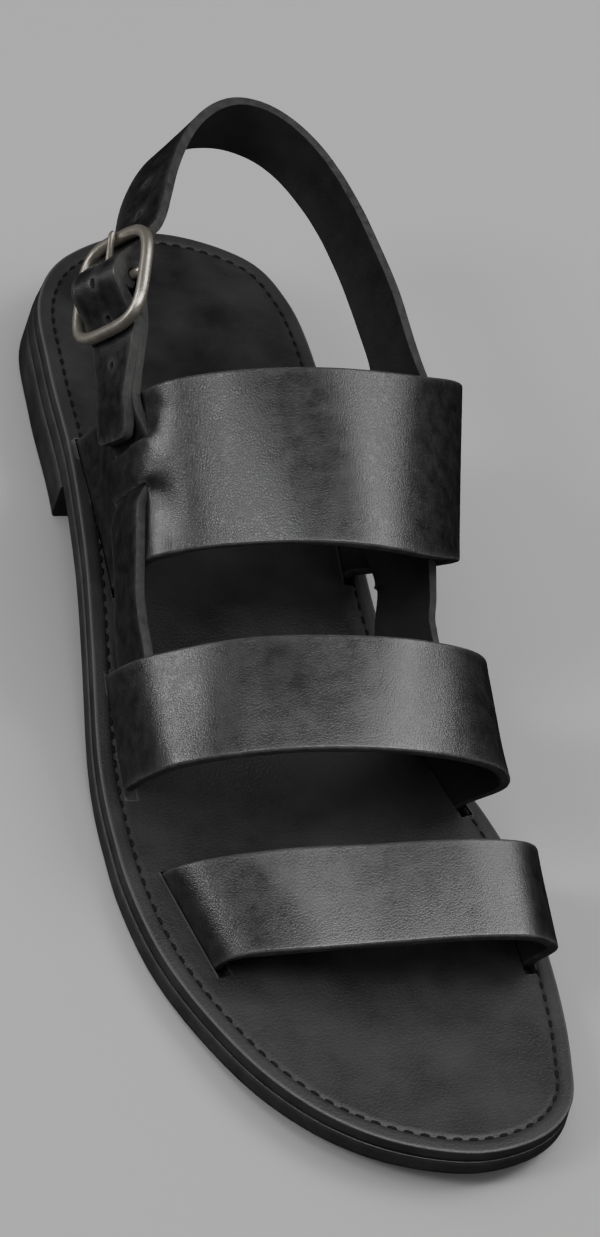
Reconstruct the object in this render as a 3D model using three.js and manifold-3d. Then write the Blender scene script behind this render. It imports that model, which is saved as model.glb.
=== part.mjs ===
// Strappy sandal, right foot. Millimetres, +Z up, toe towards -Y, big-toe side towards +X.
// The origin is the centre of the sandal's box, on the floor.
import * as THREE from 'three';
import { LoftGeometry } from 'three/addons/geometries/LoftGeometry.js';
import { mergeVertices } from 'three/addons/utils/BufferGeometryUtils.js';
import Module from 'manifold-3d';

const wasm = await Module();
wasm.setup();

// Driving sizes of the sole
const soleLength = 284;
const ballWidth = 96.7;
const outsoleThickness = 4.2;
const footbedThickness = 3.0;
const layerGap = 0.3;
const heelHeight = 11.2;
const heelLength = 84;
const toeSpring = 4.9;
const soleFlare = 1.0;
const heelFlare = 1.2;
const edgeBevel = 0.6;
const heelTopBevel = 0.2;
const outsoleTopFlare = 0.4;
const footbedFlare = 0.35;

// Driving sizes of the straps
const instepHeight = 65;
const strapThickness = 2.6;
const bandThickness = 2.3;
const bandWidth = 18;
const fitGap = 0.3;
const slotAllowance = 2.5;
const tabClearance = 1.2;
const joinDepth = 0.25;
const strapBevel = 0.5;
const bandBevel = 0.45;
const slotThrough = 2;
const slotRise = 3;
const sideClearance = 2;
const tailPress = 0.6;

// Driving sizes of the buckle
const frameAcross = 30;
const frameAlong = 27.6;
const frameWire = 2.9;
const frameSquareness = 3.6;
const barWire = 2.4;
const prongWidth = 2.0;
const prongThickness = 1.7;
const prongShift = 0.9;
const chapeLead = 3;
const cutSpare = 0.6;

// Places along the sole, as shares of its length from the back of the heel
const waistStart = 0.37;
const ballStart = 0.662;
const ballEnd = 0.746;

// Where the tread's underside runs: at heel height, down through the waist, flat, then up at the toe
function undersideAt(along) {
  const waist = THREE.MathUtils.smoothstep(along, waistStart * soleLength, ballStart * soleLength);
  const toe = Math.max(0, (along - ballEnd * soleLength) / (soleLength * (1 - ballEnd)));
  return heelHeight * (1 - waist) + toeSpring * toe * toe;
}

const footbedBase = outsoleThickness + layerGap;
const footbedTop = footbedBase + footbedThickness;

function footbedTopAt(along) {
  return undersideAt(along) + footbedTop;
}

// The footbed's outline. along is a share of the sole's length, the sides are shares of the ball width.
const outlineRows = [
  { along: 0.0352, lateral: 0.25, medial: 0.279 },
  { along: 0.088, lateral: 0.355, medial: 0.352 },
  { along: 0.176, lateral: 0.387, medial: 0.367 },
  { along: 0.2817, lateral: 0.399, medial: 0.333 },
  { along: 0.3873, lateral: 0.433, medial: 0.306 },
  { along: 0.493, lateral: 0.474, medial: 0.305 },
  { along: 0.5986, lateral: 0.515, medial: 0.382 },
  { along: 0.669, lateral: 0.524, medial: 0.45 },
  { along: 0.7218, lateral: 0.521, medial: 0.478 },
  { along: 0.7923, lateral: 0.486, medial: 0.478 },
  { along: 0.8627, lateral: 0.407, medial: 0.457 },
  { along: 0.9155, lateral: 0.319, medial: 0.424 },
  { along: 0.9577, lateral: 0.204, medial: 0.38 },
  { along: 0.9859, lateral: 0.065, medial: 0.29 },
];
const heelPoint = 0.02;
const toePoint = 0.121;

function outlinePoint(across, along) {
  return new THREE.Vector3(across * ballWidth, along * soleLength, 0);
}

const outlinePoints = [
  outlinePoint(heelPoint, 0),
  ...outlineRows.map((row) => outlinePoint(-row.lateral, row.along)),
  outlinePoint(toePoint, 1),
  ...outlineRows.toReversed().map((row) => outlinePoint(row.medial, row.along)),
];
const outline = new THREE.CatmullRomCurve3(outlinePoints, true, 'centripetal');
const outlineSpans = outlineRows.length + 1;

// A point of the outline at a station, on the lateral (-1) or medial (+1) side, moved outwards
function edgePoint(station, side, outwards) {
  const share = station / (2 * outlineSpans);
  const at = side < 0 ? share : 1 - share;
  const point = outline.getPoint(at);
  const tangent = outline.getTangent(at);
  return new THREE.Vector2(point.x - tangent.y * outwards, point.y + tangent.x * outwards);
}

const stationsPerSpan = 3;
const endTrim = 0.12;

// Stations from the heel's back to the toe's tip, closer together at both ends
function stationList(last = outlineSpans) {
  const list = [endTrim, 3 * endTrim];
  for (let i = 2; i <= stationsPerSpan * last - 2; i += 1) list.push(i / stationsPerSpan);
  return [...list, last - 3 * endTrim, last - endTrim];
}

// A layer of the sole between two heights over the underside, its side flaring from top to bottom
function soleLayer({ base, thickness, flareBase, flareTop, bevelTop = edgeBevel, level = undersideAt }) {
  const ring = [
    { side: -1, inset: edgeBevel, height: 0 },
    { side: 1, inset: edgeBevel, height: 0 },
    { side: 1, inset: 0, height: edgeBevel },
    { side: 1, inset: 0, height: thickness - bevelTop },
    { side: 1, inset: bevelTop, height: thickness },
    { side: -1, inset: bevelTop, height: thickness },
    { side: -1, inset: 0, height: thickness - bevelTop },
    { side: -1, inset: 0, height: edgeBevel },
  ];
  const sections = stationList().map((station) => ring.map((corner) => {
    const flare = THREE.MathUtils.lerp(flareBase, flareTop, corner.height / thickness);
    const point = edgePoint(station, corner.side, flare - corner.inset);
    return new THREE.Vector3(point.x, soleLength / 2 - point.y, level(point.y) + base + corner.height);
  }));
  return new LoftGeometry(sections, { capStart: true, capEnd: true });
}

// Solids for joining and cutting
function solidOf(geometry, matrix = new THREE.Matrix4()) {
  const bare = new THREE.BufferGeometry();
  bare.setAttribute('position', geometry.attributes.position);
  bare.setIndex(geometry.index);
  const merged = mergeVertices(bare, 1e-4).applyMatrix4(matrix);
  const corners = merged.index.array;
  const kept = [];
  for (let i = 0; i < corners.length; i += 3) {
    const [a, b, c] = corners.slice(i, i + 3);
    if (a !== b && b !== c && c !== a) kept.push(a, b, c);
  }
  return new wasm.Manifold(new wasm.Mesh({
    numProp: 3,
    vertProperties: new Float32Array(merged.attributes.position.array),
    triVerts: new Uint32Array(kept),
  }));
}

function geometryOf(solid) {
  const mesh = solid.getMesh();
  const geometry = new THREE.BufferGeometry();
  geometry.setAttribute('position', new THREE.BufferAttribute(new Float32Array(mesh.vertProperties), 3));
  geometry.setIndex(new THREE.BufferAttribute(new Uint32Array(mesh.triVerts), 1));
  geometry.computeVertexNormals();
  return geometry;
}

// The two edges of each strap that rises from slots in the footbed.
// at is the lateral slot's place, as a share of the sole's length. skew moves the edge along the sole
// for each unit towards the medial side. lean moves it for each unit of height, and medialLean is that
// lean on the medial side. arch goes from the lateral slot over the foot to the medial slot:
// across as shares of half the ball width, up as shares of the instep height over the footbed.
const strapEdges = {
  toeRear: {
    at: 0.7074, skew: 0.06, lean: 0.42, medialLean: 0.42,
    arch: [
      { across: -0.865, up: 0 }, { across: -0.845, up: 0.07 }, { across: -0.76, up: 0.17 },
      { across: -0.43, up: 0.32 }, { across: 0.0, up: 0.385 }, { across: 0.45, up: 0.45 },
      { across: 0.75, up: 0.405 }, { across: 0.9, up: 0.23 }, { across: 0.87, up: 0 },
    ],
  },
  toeFront: {
    at: 0.8028, skew: 0.06, lean: 0.38, medialLean: 0.38,
    arch: [
      { across: -0.745, up: 0 }, { across: -0.73, up: 0.09 }, { across: -0.63, up: 0.18 },
      { across: -0.3, up: 0.24 }, { across: 0.05, up: 0.305 }, { across: 0.42, up: 0.36 },
      { across: 0.68, up: 0.335 }, { across: 0.86, up: 0.19 }, { across: 0.85, up: 0 },
    ],
  },
  middleRear: {
    at: 0.5165, skew: 0.1, lean: 0.5, medialLean: 0.5,
    arch: [
      { across: -0.905, up: 0 }, { across: -0.885, up: 0.15 }, { across: -0.81, up: 0.31 },
      { across: -0.5, up: 0.58 }, { across: -0.08, up: 0.69 }, { across: 0.35, up: 0.69 },
      { across: 0.7, up: 0.56 }, { across: 0.83, up: 0.3 }, { across: 0.62, up: 0 },
    ],
  },
  middleFront: {
    at: 0.6236, skew: 0.1, lean: 0.45, medialLean: 0.45,
    arch: [
      { across: -0.935, up: 0 }, { across: -0.92, up: 0.14 }, { across: -0.83, up: 0.35 },
      { across: -0.55, up: 0.53 }, { across: -0.16, up: 0.63 }, { across: 0.3, up: 0.61 },
      { across: 0.68, up: 0.48 }, { across: 0.87, up: 0.25 }, { across: 0.8, up: 0 },
    ],
  },
  instepRear: {
    at: 0.2665, skew: -0.08, lean: 0.57, medialLean: 0.7,
    arch: [
      { across: -0.745, up: 0 }, { across: -0.74, up: 0.4 }, { across: -0.693, up: 0.733 },
      { across: -0.543, up: 0.862 }, { across: -0.34, up: 0.95 }, { across: -0.045, up: 1.0 },
      { across: 0.25, up: 0.99 }, { across: 0.56, up: 0.93 }, { across: 0.84, up: 0.8 },
      { across: 1.0, up: 0.62 }, { across: 0.98, up: 0.42 }, { across: 0.81, up: 0.2 },
      { across: 0.62, up: 0 },
    ],
  },
  instepFront: {
    at: 0.4342, skew: -0.036, lean: 0.52, medialLean: 0.76,
    arch: [
      { across: -0.779, up: 0 }, { across: -0.8, up: 0.22 }, { across: -0.783, up: 0.41 },
      { across: -0.682, up: 0.495 }, { across: -0.533, up: 0.587 }, { across: -0.38, up: 0.664 },
      { across: -0.188, up: 0.745 }, { across: -0.011, up: 0.776 }, { across: 0.243, up: 0.757 },
      { across: 0.5, up: 0.67 }, { across: 0.7, up: 0.54 }, { across: 0.8, up: 0.41 },
      { across: 0.78, up: 0.28 }, { across: 0.66, up: 0.13 }, { across: 0.527, up: 0 },
    ],
  },
};

// An edge as a curve in space, with a straight tab below each end for the footbed's slot
function edgeCurve({ at, skew, lean, medialLean, arch }) {
  const base = at * soleLength;
  const lateral = arch[0].across * ballWidth / 2;
  const medial = arch.at(-1).across * ballWidth / 2;
  const points = arch.map(({ across, up }) => {
    const x = across * ballWidth / 2;
    const rise = up * instepHeight;
    const share = THREE.MathUtils.clamp((x - lateral) / (medial - lateral), 0, 1);
    const along = base + skew * (x - lateral) + THREE.MathUtils.lerp(lean, medialLean, share) * rise;
    const ground = footbedTopAt(base + skew * (x - lateral));
    return new THREE.Vector3(x, soleLength / 2 - along, ground + rise);
  });
  return new THREE.CatmullRomCurve3(points, false, 'centripetal');
}

const archSteps = 44;

// A strap's outer face. u runs from 0 at the lateral slot to 1 at the medial one, v from rear to front.
// Outside 0 to 1 the face runs straight down into the footbed.
function strapFace(rear, front) {
  const edges = [edgeCurve(rear), edgeCurve(front)];
  const place = (u, v) => {
    const inside = THREE.MathUtils.clamp(u, 0, 1);
    const [back, fore] = edges.map((edge) => edge.getPointAt(inside));
    const point = back.lerp(fore, v);
    const below = Math.abs(u - inside) * edges[0].getLength();
    point.z -= below;
    return point;
  };
  const step = 1e-3;
  const normal = (u, v) => {
    const along = place(u + step, v).sub(place(u - step, v));
    const across = place(u, v - step).sub(place(u, v + step));
    return along.cross(across).normalize();
  };
  return { place, normal, length: edges[0].getLength() };
}

// A solid wall under a strap's face, between two depths below it, a little short of its edges or past them
function strapWall(face, { stops, outer, inner, overlap = 0, ahead = 0, bevel = strapBevel, width }) {
  const trim = overlap / width;
  const corner = bevel / width;
  const sections = stops.map((u) => {
    const at = (v, depth) => face.place(u, v).addScaledVector(face.normal(u, v), -depth);
    const low = -trim;
    const high = 1 + trim + ahead / width;
    return [
      at(high, inner - bevel),
      at(high - corner, inner),
      at(0.5, inner),
      at(low + corner, inner),
      at(low, inner - bevel),
      at(low, outer + bevel),
      at(low + corner, outer),
      at(0.5, outer),
      at(high - corner, outer),
      at(high, outer + bevel),
    ];
  });
  return new LoftGeometry(sections, { capStart: true, capEnd: true });
}

function strap(face, width) {
  const tab = (footbedThickness - tabClearance) / face.length;
  const arch = Array.from({ length: archSteps + 1 }, (_, i) => i / archSteps);
  return strapWall(face, { stops: [-tab, ...arch, 1 + tab], outer: 0, inner: strapThickness, width });
}

// The cutter of a strap's slots: its own wall, grown by the fitting gap, at both ends
function slotCutters(face, width) {
  const depth = (footbedThickness + slotThrough) / face.length;
  const height = slotRise / face.length;
  const shape = {
    outer: -fitGap, inner: strapThickness + fitGap, overlap: fitGap, width, ahead: slotAllowance,
  };
  return [
    strapWall(face, { ...shape, stops: [-depth, 0, height] }),
    strapWall(face, { ...shape, stops: [1 - height, 1, 1 + depth] }),
  ];
}

const toeFace = strapFace(strapEdges.toeRear, strapEdges.toeFront);
const middleFace = strapFace(strapEdges.middleRear, strapEdges.middleFront);
const instepFace = strapFace(strapEdges.instepRear, strapEdges.instepFront);
const toeWidth = (strapEdges.toeFront.at - strapEdges.toeRear.at) * soleLength;
const middleWidth = (strapEdges.middleFront.at - strapEdges.middleRear.at) * soleLength;
const instepWidth = (strapEdges.instepFront.at - strapEdges.instepRear.at) * soleLength;

// The buckle's own directions: across the band, along it towards the heel, and outwards
const buckleCentre = new THREE.Vector3(-0.762 * ballWidth / 2, soleLength * 0.2482, instepHeight * 1.027);
const buckleAcross = new THREE.Vector3(0.285, -0.457, 0.843).normalize();
const buckleHeelwards = new THREE.Vector3(0.241, 0.885, 0.398).normalize();
const buckleOut = new THREE.Vector3().crossVectors(buckleAcross, buckleHeelwards).normalize();
const buckleFrame = new THREE.Matrix4().makeBasis(buckleAcross, buckleHeelwards, buckleOut);
buckleFrame.setPosition(buckleCentre);

// Radii round the buckle's bars: the leather's own thickness and the gaps settle them
const barRadius = barWire / 2;
const boreRadius = barRadius + fitGap;
const wrapRadius = boreRadius + bandThickness;
const sideReach = (frameAcross - frameWire) / 2;
const railReach = (frameAlong - frameWire) / 2;
const humpRadius = wrapRadius + bandThickness / 2 - joinDepth;
const dipRadius = frameWire / 2 + fitGap + bandThickness / 2;

// The frame's rails bow outwards, so the band clears them where they stand at its edges
const edgeShare = (bandWidth / 2 / sideReach) ** frameSquareness;
const beltReach = railReach * (1 - edgeShare) ** (1 / frameSquareness);
const humpAngle = Math.asin((humpRadius + dipRadius) / beltReach);

// A place of the strap in the buckle, along the band towards the heel and outwards
function buckleKnot(along, out) {
  return { centre: new THREE.Vector3(0, along, out).applyMatrix4(buckleFrame), up: buckleAcross };
}

// A free place of a band: across as a share of half the ball width, along as a share of the sole's
// length, up as a share of the instep height over the floor, lean in degrees tips its top inwards
function freeKnot({ across, along, up, lean, heading }) {
  const turn = THREE.MathUtils.degToRad(heading);
  const tip = THREE.MathUtils.degToRad(lean);
  const inward = new THREE.Vector3(Math.cos(turn), Math.sin(turn), 0);
  return {
    centre: new THREE.Vector3(across * ballWidth / 2, soleLength * (0.5 - along), up * instepHeight),
    up: new THREE.Vector3(0, 0, Math.cos(tip)).addScaledVector(inward, Math.sin(tip)),
  };
}

// A place of a band on a strap's face, at a distance over it
function faceKnot(face, { u, v, over }) {
  const step = 0.01;
  const side = u < 0.5 ? 1 : -1;
  const up = face.place(u + step, v).sub(face.place(u - step, v)).multiplyScalar(side).normalize();
  return { centre: face.place(u, v).addScaledVector(face.normal(u, v), over), up };
}

// Frames along a band through its knots
function bandFrames(knots, stepsPerSpan = 3) {
  const line = new THREE.CatmullRomCurve3(knots.map((knot) => knot.centre), false, 'centripetal');
  const ups = new THREE.CatmullRomCurve3(knots.map((knot) => knot.up), false, 'catmullrom', 0.4);
  const steps = (knots.length - 1) * stepsPerSpan;
  return Array.from({ length: steps + 1 }, (_, i) => {
    const centre = line.getPoint(i / steps);
    const tangent = line.getTangent(i / steps);
    const up = ups.getPoint(i / steps);
    up.addScaledVector(tangent, -up.dot(tangent)).normalize();
    return { centre, up, face: new THREE.Vector3().crossVectors(tangent, up).normalize() };
  });
}

function bandSolid(frames, { width = bandWidth, thickness = bandThickness, bevel = bandBevel } = {}) {
  const ring = [
    [1, -1, 0, bevel], [1, -1, bevel, 0], [-1, -1, bevel, 0], [-1, -1, 0, bevel],
    [-1, 1, 0, bevel], [-1, 1, bevel, 0], [1, 1, bevel, 0], [1, 1, 0, bevel],
  ];
  const sections = frames.map(({ centre, up, face }) => ring.map(([out, high, inFace, inUp]) => {
    const depth = out * (thickness / 2 - inFace);
    const height = high * (width / 2 - inUp);
    return centre.clone().addScaledVector(face, depth).addScaledVector(up, height);
  }));
  return new LoftGeometry(sections, { capStart: true, capEnd: true });
}

// How far a band's middle lies over a strap's outer face where it passes outside, inside or through it
const passOutside = bandThickness / 2 - joinDepth;
const passInside = -(strapThickness + bandThickness / 2 - joinDepth);
const passThrough = -strapThickness / 2;

// Where the side bands pass the middle strap and the instep strap, as shares of their faces
const lateralEnd = [
  { face: 'middle', u: 0.0675, v: 0.4, over: passInside },
  { face: 'middle', u: 0.0665, v: 0.05, over: passInside },
];
const medialEnd = [
  { face: 'middle', u: 0.928, v: 0.4, over: passInside },
  { face: 'middle', u: 0.948, v: 0.05, over: passInside },
];
const sideGaps = {
  lateral: { across: -0.824, along: 0.511, up: 0.38, lean: 0, heading: 0 },
  medial: { across: 0.606, along: 0.511, up: 0.376, lean: -23, heading: 180 },
};
const lateralWeave = [
  { face: 'instep', u: 0.098, v: 1.12, over: passOutside },
  { face: 'instep', u: 0.1256, v: 0.84, over: passOutside },
  { face: 'instep', u: 0.145, v: 0.56, over: passThrough },
  { face: 'instep', u: 0.158, v: 0.42, over: passInside },
  { face: 'instep', u: 0.17, v: 0.28, over: passThrough },
  { face: 'instep', u: 0.18, v: 0.05, over: passOutside },
];
const medialWeave = [
  { face: 'instep', u: 0.8835, v: 1.08, over: passInside },
  { face: 'instep', u: 0.9, v: 0.84, over: passInside },
  { face: 'instep', u: 0.885, v: 0.56, over: passThrough },
  { face: 'instep', u: 0.875, v: 0.42, over: passOutside },
  { face: 'instep', u: 0.865, v: 0.28, over: passThrough },
  { face: 'instep', u: 0.85, v: 0.1, over: passInside - sideClearance },
];

// The slingback's free run from the medial side round the heel. heading is the way inwards, in degrees.
const slingRows = [
  { across: 0.772, along: 0.295, up: 0.805, lean: -5, heading: 180 },
  { across: 0.741, along: 0.243, up: 0.876, lean: -9, heading: 178 },
  { across: 0.72, along: 0.202, up: 0.899, lean: -5, heading: 185 },
  { across: 0.701, along: 0.169, up: 0.917, lean: -4, heading: 190 },
  { across: 0.663, along: 0.133, up: 0.936, lean: -2, heading: 198 },
  { across: 0.636, along: 0.097, up: 0.927, lean: -2, heading: 205 },
  { across: 0.51, along: 0.062, up: 0.975, lean: 4, heading: 225 },
  { across: 0.35, along: 0.042, up: 1.01, lean: 6, heading: 255 },
  { across: 0.18, along: 0.0375, up: 1.035, lean: 9, heading: 270 },
  { across: 0.023, along: 0.046, up: 1.059, lean: 17, heading: 290 },
  { across: -0.198, along: 0.074, up: 1.063, lean: 24, heading: 318 },
  { across: -0.351, along: 0.1127, up: 1.056, lean: 28, heading: 333 },
  { across: -0.476, along: 0.156, up: 1.058, lean: 30, heading: 338 },
  { across: -0.537, along: 0.19, up: 1.06, lean: 28, heading: 340 },
];
const tailRows = [
  { face: 'instep', u: 0.18, v: 0.02, over: passOutside + bandThickness - joinDepth },
  { face: 'instep', u: 0.158, v: 0.25, over: passOutside + bandThickness - tailPress },
];

const faces = { middle: middleFace, instep: instepFace };
const onFaces = (rows) => rows.map((row) => faceKnot(faces[row.face], row));

// The strap's belt line over the centre bar's wrap and under the frame's two rails
function railArc(side) {
  return [0, 0.5, 1].map((share) => buckleKnot(
    side * (beltReach - dipRadius * Math.sin(humpAngle * share)), -dipRadius * Math.cos(humpAngle * share)));
}
const humpArc = [1, 0.5, 0, -0.5, -1].map((share) => buckleKnot(
  humpRadius * Math.sin(humpAngle * share), humpRadius * Math.cos(humpAngle * share)));
const beltKnots = [...railArc(1), ...humpArc, ...railArc(-1).toReversed()];

const slingFrames = bandFrames([
  ...onFaces(medialEnd),
  freeKnot(sideGaps.medial),
  ...onFaces(medialWeave),
  ...slingRows.map(freeKnot),
  ...beltKnots,
  ...onFaces(tailRows),
]);

// The chape: from the middle strap through the slits, then under the strap's end to the centre bar
const chapeRadius = (boreRadius + wrapRadius) / 2;
const chapeDrop = dipRadius + bandThickness - joinDepth;
const chapeFrames = bandFrames([
  ...onFaces(lateralEnd),
  freeKnot(sideGaps.lateral),
  ...onFaces(lateralWeave),
  buckleKnot(-beltReach - chapeLead, -chapeDrop),
  buckleKnot(-beltReach, -chapeDrop),
  buckleKnot(-beltReach / 2, -(chapeDrop + chapeRadius) / 2),
  buckleKnot(0, -chapeRadius),
]);

// A tube round the centre bar's line, in the buckle's own directions
function barTube(inner, outer, width) {
  const rows = [[inner, -width / 2], [outer, -width / 2], [outer, width / 2], [inner, width / 2]];
  if (inner > 0) rows.push(rows[0]);
  const profile = rows.map(([radius, at]) => new THREE.Vector2(radius, at));
  const tube = new THREE.LatheGeometry(profile, 24);
  return tube.rotateZ(-Math.PI / 2);
}

// A plain block in the buckle's own directions, between two corners
function buckleBlock(low, high) {
  const size = new THREE.Vector3().subVectors(high, low);
  const block = new THREE.BoxGeometry(size.x, size.y, size.z);
  const middle = new THREE.Vector3().addVectors(low, high).multiplyScalar(0.5);
  return block.translate(middle.x, middle.y, middle.z);
}

const prongHole = prongWidth / 2 + fitGap;
const wrapNotch = buckleBlock(
  new THREE.Vector3(prongShift - prongHole, -wrapRadius - cutSpare, -wrapRadius - cutSpare),
  new THREE.Vector3(prongShift + prongHole, wrapRadius + cutSpare, wrapRadius + cutSpare),
);
const pinMiddle = barRadius + fitGap + prongThickness / 2;
const pinHole = buckleBlock(
  new THREE.Vector3(prongShift - prongHole, cutSpare, pinMiddle - prongThickness / 2 - fitGap - cutSpare),
  new THREE.Vector3(prongShift + prongHole, railReach, pinMiddle + prongThickness / 2 + fitGap),
);

// The frame: a bowed rectangle of round wire, each bar a little convex, with its centre bar
function frameLoop(steps) {
  const ringSteps = 10;
  const soft = (value) => Math.sign(value) * Math.abs(value) ** (2 / frameSquareness);
  const points = Array.from({ length: steps }, (_, i) => {
    const turn = i / steps * 2 * Math.PI;
    return new THREE.Vector3(soft(Math.cos(turn)) * sideReach, soft(Math.sin(turn)) * railReach, 0);
  });
  const loop = new THREE.CatmullRomCurve3(points, true, 'centripetal');
  const sections = Array.from({ length: steps * 2 + 1 }, (_, i) => {
    const share = (i % (steps * 2)) / (steps * 2);
    const centre = loop.getPoint(share);
    const tangent = loop.getTangent(share);
    const side = new THREE.Vector3(tangent.y, -tangent.x, 0);
    return Array.from({ length: ringSteps }, (_, j) => {
      const angle = -j / ringSteps * 2 * Math.PI;
      return centre.clone()
        .addScaledVector(side, Math.cos(angle) * frameWire / 2)
        .add(new THREE.Vector3(0, 0, Math.sin(angle) * frameWire / 2));
    });
  });
  return new LoftGeometry(sections, { capStart: false, capEnd: false });
}

// The prong's pin, from the ring on the centre bar to its tip on the frame's heel rail
function prongPin() {
  const rest = frameWire / 2 + fitGap;
  const rows = [
    { along: 0, out: pinMiddle, thick: 1, wide: 1 },
    { along: 0.45, out: pinMiddle, thick: 1, wide: 0.95 },
    { along: 0.92, out: rest + prongThickness / 2, thick: 1, wide: 0.85 },
    { along: 1.02, out: rest + prongThickness * 0.4, thick: 0.75, wide: 0.65 },
    { along: 1.06, out: rest + prongThickness * 0.35, thick: 0.45, wide: 0.4 },
  ];
  const corners = [[-1, 0.5], [-0.5, 1], [0.5, 1], [1, 0.5], [1, -0.5], [0.5, -1], [-0.5, -1], [-1, -0.5]];
  const sections = rows.map(({ along, out, thick, wide }) => corners.map(([across, high]) => {
    const side = prongShift + across * wide * prongWidth / 2;
    return new THREE.Vector3(side, along * railReach, out + high * thick * prongThickness / 2);
  }));
  return new LoftGeometry(sections, { capStart: true, capEnd: true });
}

const footbed = soleLayer({
  base: footbedBase, thickness: footbedThickness, flareBase: footbedFlare, flareTop: 0,
});
const outsole = soleLayer({
  base: 0, thickness: outsoleThickness, flareBase: soleFlare, flareTop: outsoleTopFlare,
});

const materials = {
  leather: { color: 0x151515, roughness: 0.45, metalness: 0 },
  footbed: { color: 0x1c1c1c, roughness: 0.7, metalness: 0 },
  sole: { color: 0x101010, roughness: 0.55, metalness: 0 },
  heel: { color: 0x0e0e0e, roughness: 0.6, metalness: 0 },
  metal: { color: 0x8a8072, roughness: 0.35, metalness: 1 },
};

function piece(name, geometry, look) {
  const mesh = new THREE.Mesh(geometry, new THREE.MeshStandardMaterial(materials[look]));
  mesh.name = name;
  return mesh;
}

// The heel: a layer of the sole's own outline, level on the floor, cut off at its breast
const heelLayer = soleLayer({
  base: 0, thickness: heelHeight - layerGap, flareBase: heelFlare, flareTop: soleFlare,
  bevelTop: heelTopBevel, level: () => 0,
});
const breastBlock = new THREE.BoxGeometry(2 * ballWidth, heelLength + soleLength, 4 * heelHeight);
breastBlock.translate(0, soleLength - heelLength / 2, 0);

function joined(geometries, matrix) {
  return geometries.map((geometry) => solidOf(geometry, matrix)).reduce((all, solid) => all.add(solid));
}

const slots = joined([
  ...slotCutters(toeFace, toeWidth),
  ...slotCutters(middleFace, middleWidth),
  ...slotCutters(instepFace, instepWidth),
]);
const chape = solidOf(bandSolid(chapeFrames))
  .add(solidOf(barTube(boreRadius, wrapRadius, bandWidth), buckleFrame))
  .subtract(solidOf(barTube(0, boreRadius, bandWidth + 2 * cutSpare), buckleFrame))
  .subtract(solidOf(wrapNotch, buckleFrame));
const sling = solidOf(bandSolid(slingFrames)).subtract(solidOf(pinHole, buckleFrame));
const upper = joined([strap(middleFace, middleWidth), strap(instepFace, instepWidth)])
  .add(chape)
  .add(sling);
const frameSolid = joined([frameLoop(20), barTube(0, barRadius, frameAcross - frameWire)], buckleFrame);
const prongRing = barTube(boreRadius, boreRadius + prongThickness, prongWidth).translate(prongShift, 0, 0);
const prongSolid = joined([prongRing, prongPin()], buckleFrame);

const pieces = [
  piece('outsole', outsole, 'sole'),
  piece('heel', geometryOf(solidOf(heelLayer).intersect(solidOf(breastBlock))), 'heel'),
  piece('footbed', geometryOf(solidOf(footbed).subtract(slots)), 'footbed'),
  piece('toe_strap', strap(toeFace, toeWidth), 'leather'),
  piece('upper', geometryOf(upper), 'leather'),
  piece('buckle_frame', geometryOf(frameSolid), 'metal'),
  piece('buckle_prong', geometryOf(prongSolid), 'metal'),
];

// The origin goes to the middle of the sandal's box, on the floor
const box = pieces.reduce((all, mesh) => all.expandByObject(mesh), new THREE.Box3());
const middle = box.getCenter(new THREE.Vector3());
for (const mesh of pieces) mesh.geometry.translate(-middle.x, -middle.y, 0);

const sandal = new THREE.Group();
sandal.add(...pieces);

export default sandal;
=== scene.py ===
"""Black leather strappy sandal, right foot: three straps, a woven slingback and a bar buckle.

Metres, +Z up, toe towards -Y, big-toe side towards +X. The sizes are those of the part's own source.
"""

import math

import bmesh
import bpy
import numpy as np
from mathutils import Matrix, Vector


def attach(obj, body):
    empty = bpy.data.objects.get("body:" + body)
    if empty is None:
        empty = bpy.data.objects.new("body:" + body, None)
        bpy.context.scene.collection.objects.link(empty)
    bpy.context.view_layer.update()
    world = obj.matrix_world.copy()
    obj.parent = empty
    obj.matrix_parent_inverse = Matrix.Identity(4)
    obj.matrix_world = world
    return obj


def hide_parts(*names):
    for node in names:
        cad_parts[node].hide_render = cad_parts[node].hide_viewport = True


bl_info = {
    "name": "Strappy sandal",
    "version": (1, 0, 0),
    "blender": (4, 5, 0),
    "location": "View3D > Sidebar > Sandal",
    "description": "A black leather sandal with three straps, a woven slingback and a bar buckle",
    "category": "Object",
}

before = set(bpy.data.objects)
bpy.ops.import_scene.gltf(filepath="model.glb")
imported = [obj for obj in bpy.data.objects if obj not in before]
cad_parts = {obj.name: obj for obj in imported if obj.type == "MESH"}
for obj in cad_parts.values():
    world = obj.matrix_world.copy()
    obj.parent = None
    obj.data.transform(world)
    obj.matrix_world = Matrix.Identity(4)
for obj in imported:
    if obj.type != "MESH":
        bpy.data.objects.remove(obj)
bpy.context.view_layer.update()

# Where the middle of the sandal's box lies from the sole's own axes
BOX_MIDDLE = np.array([0.0014393, -0.0000675, 0.0])

# The footbed's outline: along as shares of the sole's length, the sides as shares of the ball width
OUTLINE_COLUMNS = ("along", "lateral", "medial")
OUTLINE_ROWS = (
    (0.0352, 0.25, 0.279),
    (0.088, 0.355, 0.352),
    (0.176, 0.387, 0.367),
    (0.2817, 0.399, 0.333),
    (0.3873, 0.433, 0.306),
    (0.493, 0.474, 0.305),
    (0.5986, 0.515, 0.382),
    (0.669, 0.524, 0.45),
    (0.7218, 0.521, 0.478),
    (0.7923, 0.486, 0.478),
    (0.8627, 0.407, 0.457),
    (0.9155, 0.319, 0.424),
    (0.9577, 0.204, 0.38),
    (0.9859, 0.065, 0.29),
)
HEEL_POINT = 0.02
TOE_POINT = 0.121
OUTLINE_SPANS = len(OUTLINE_ROWS) + 1
WAIST_START, BALL_START, BALL_END = 0.37, 0.662, 0.746

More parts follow.
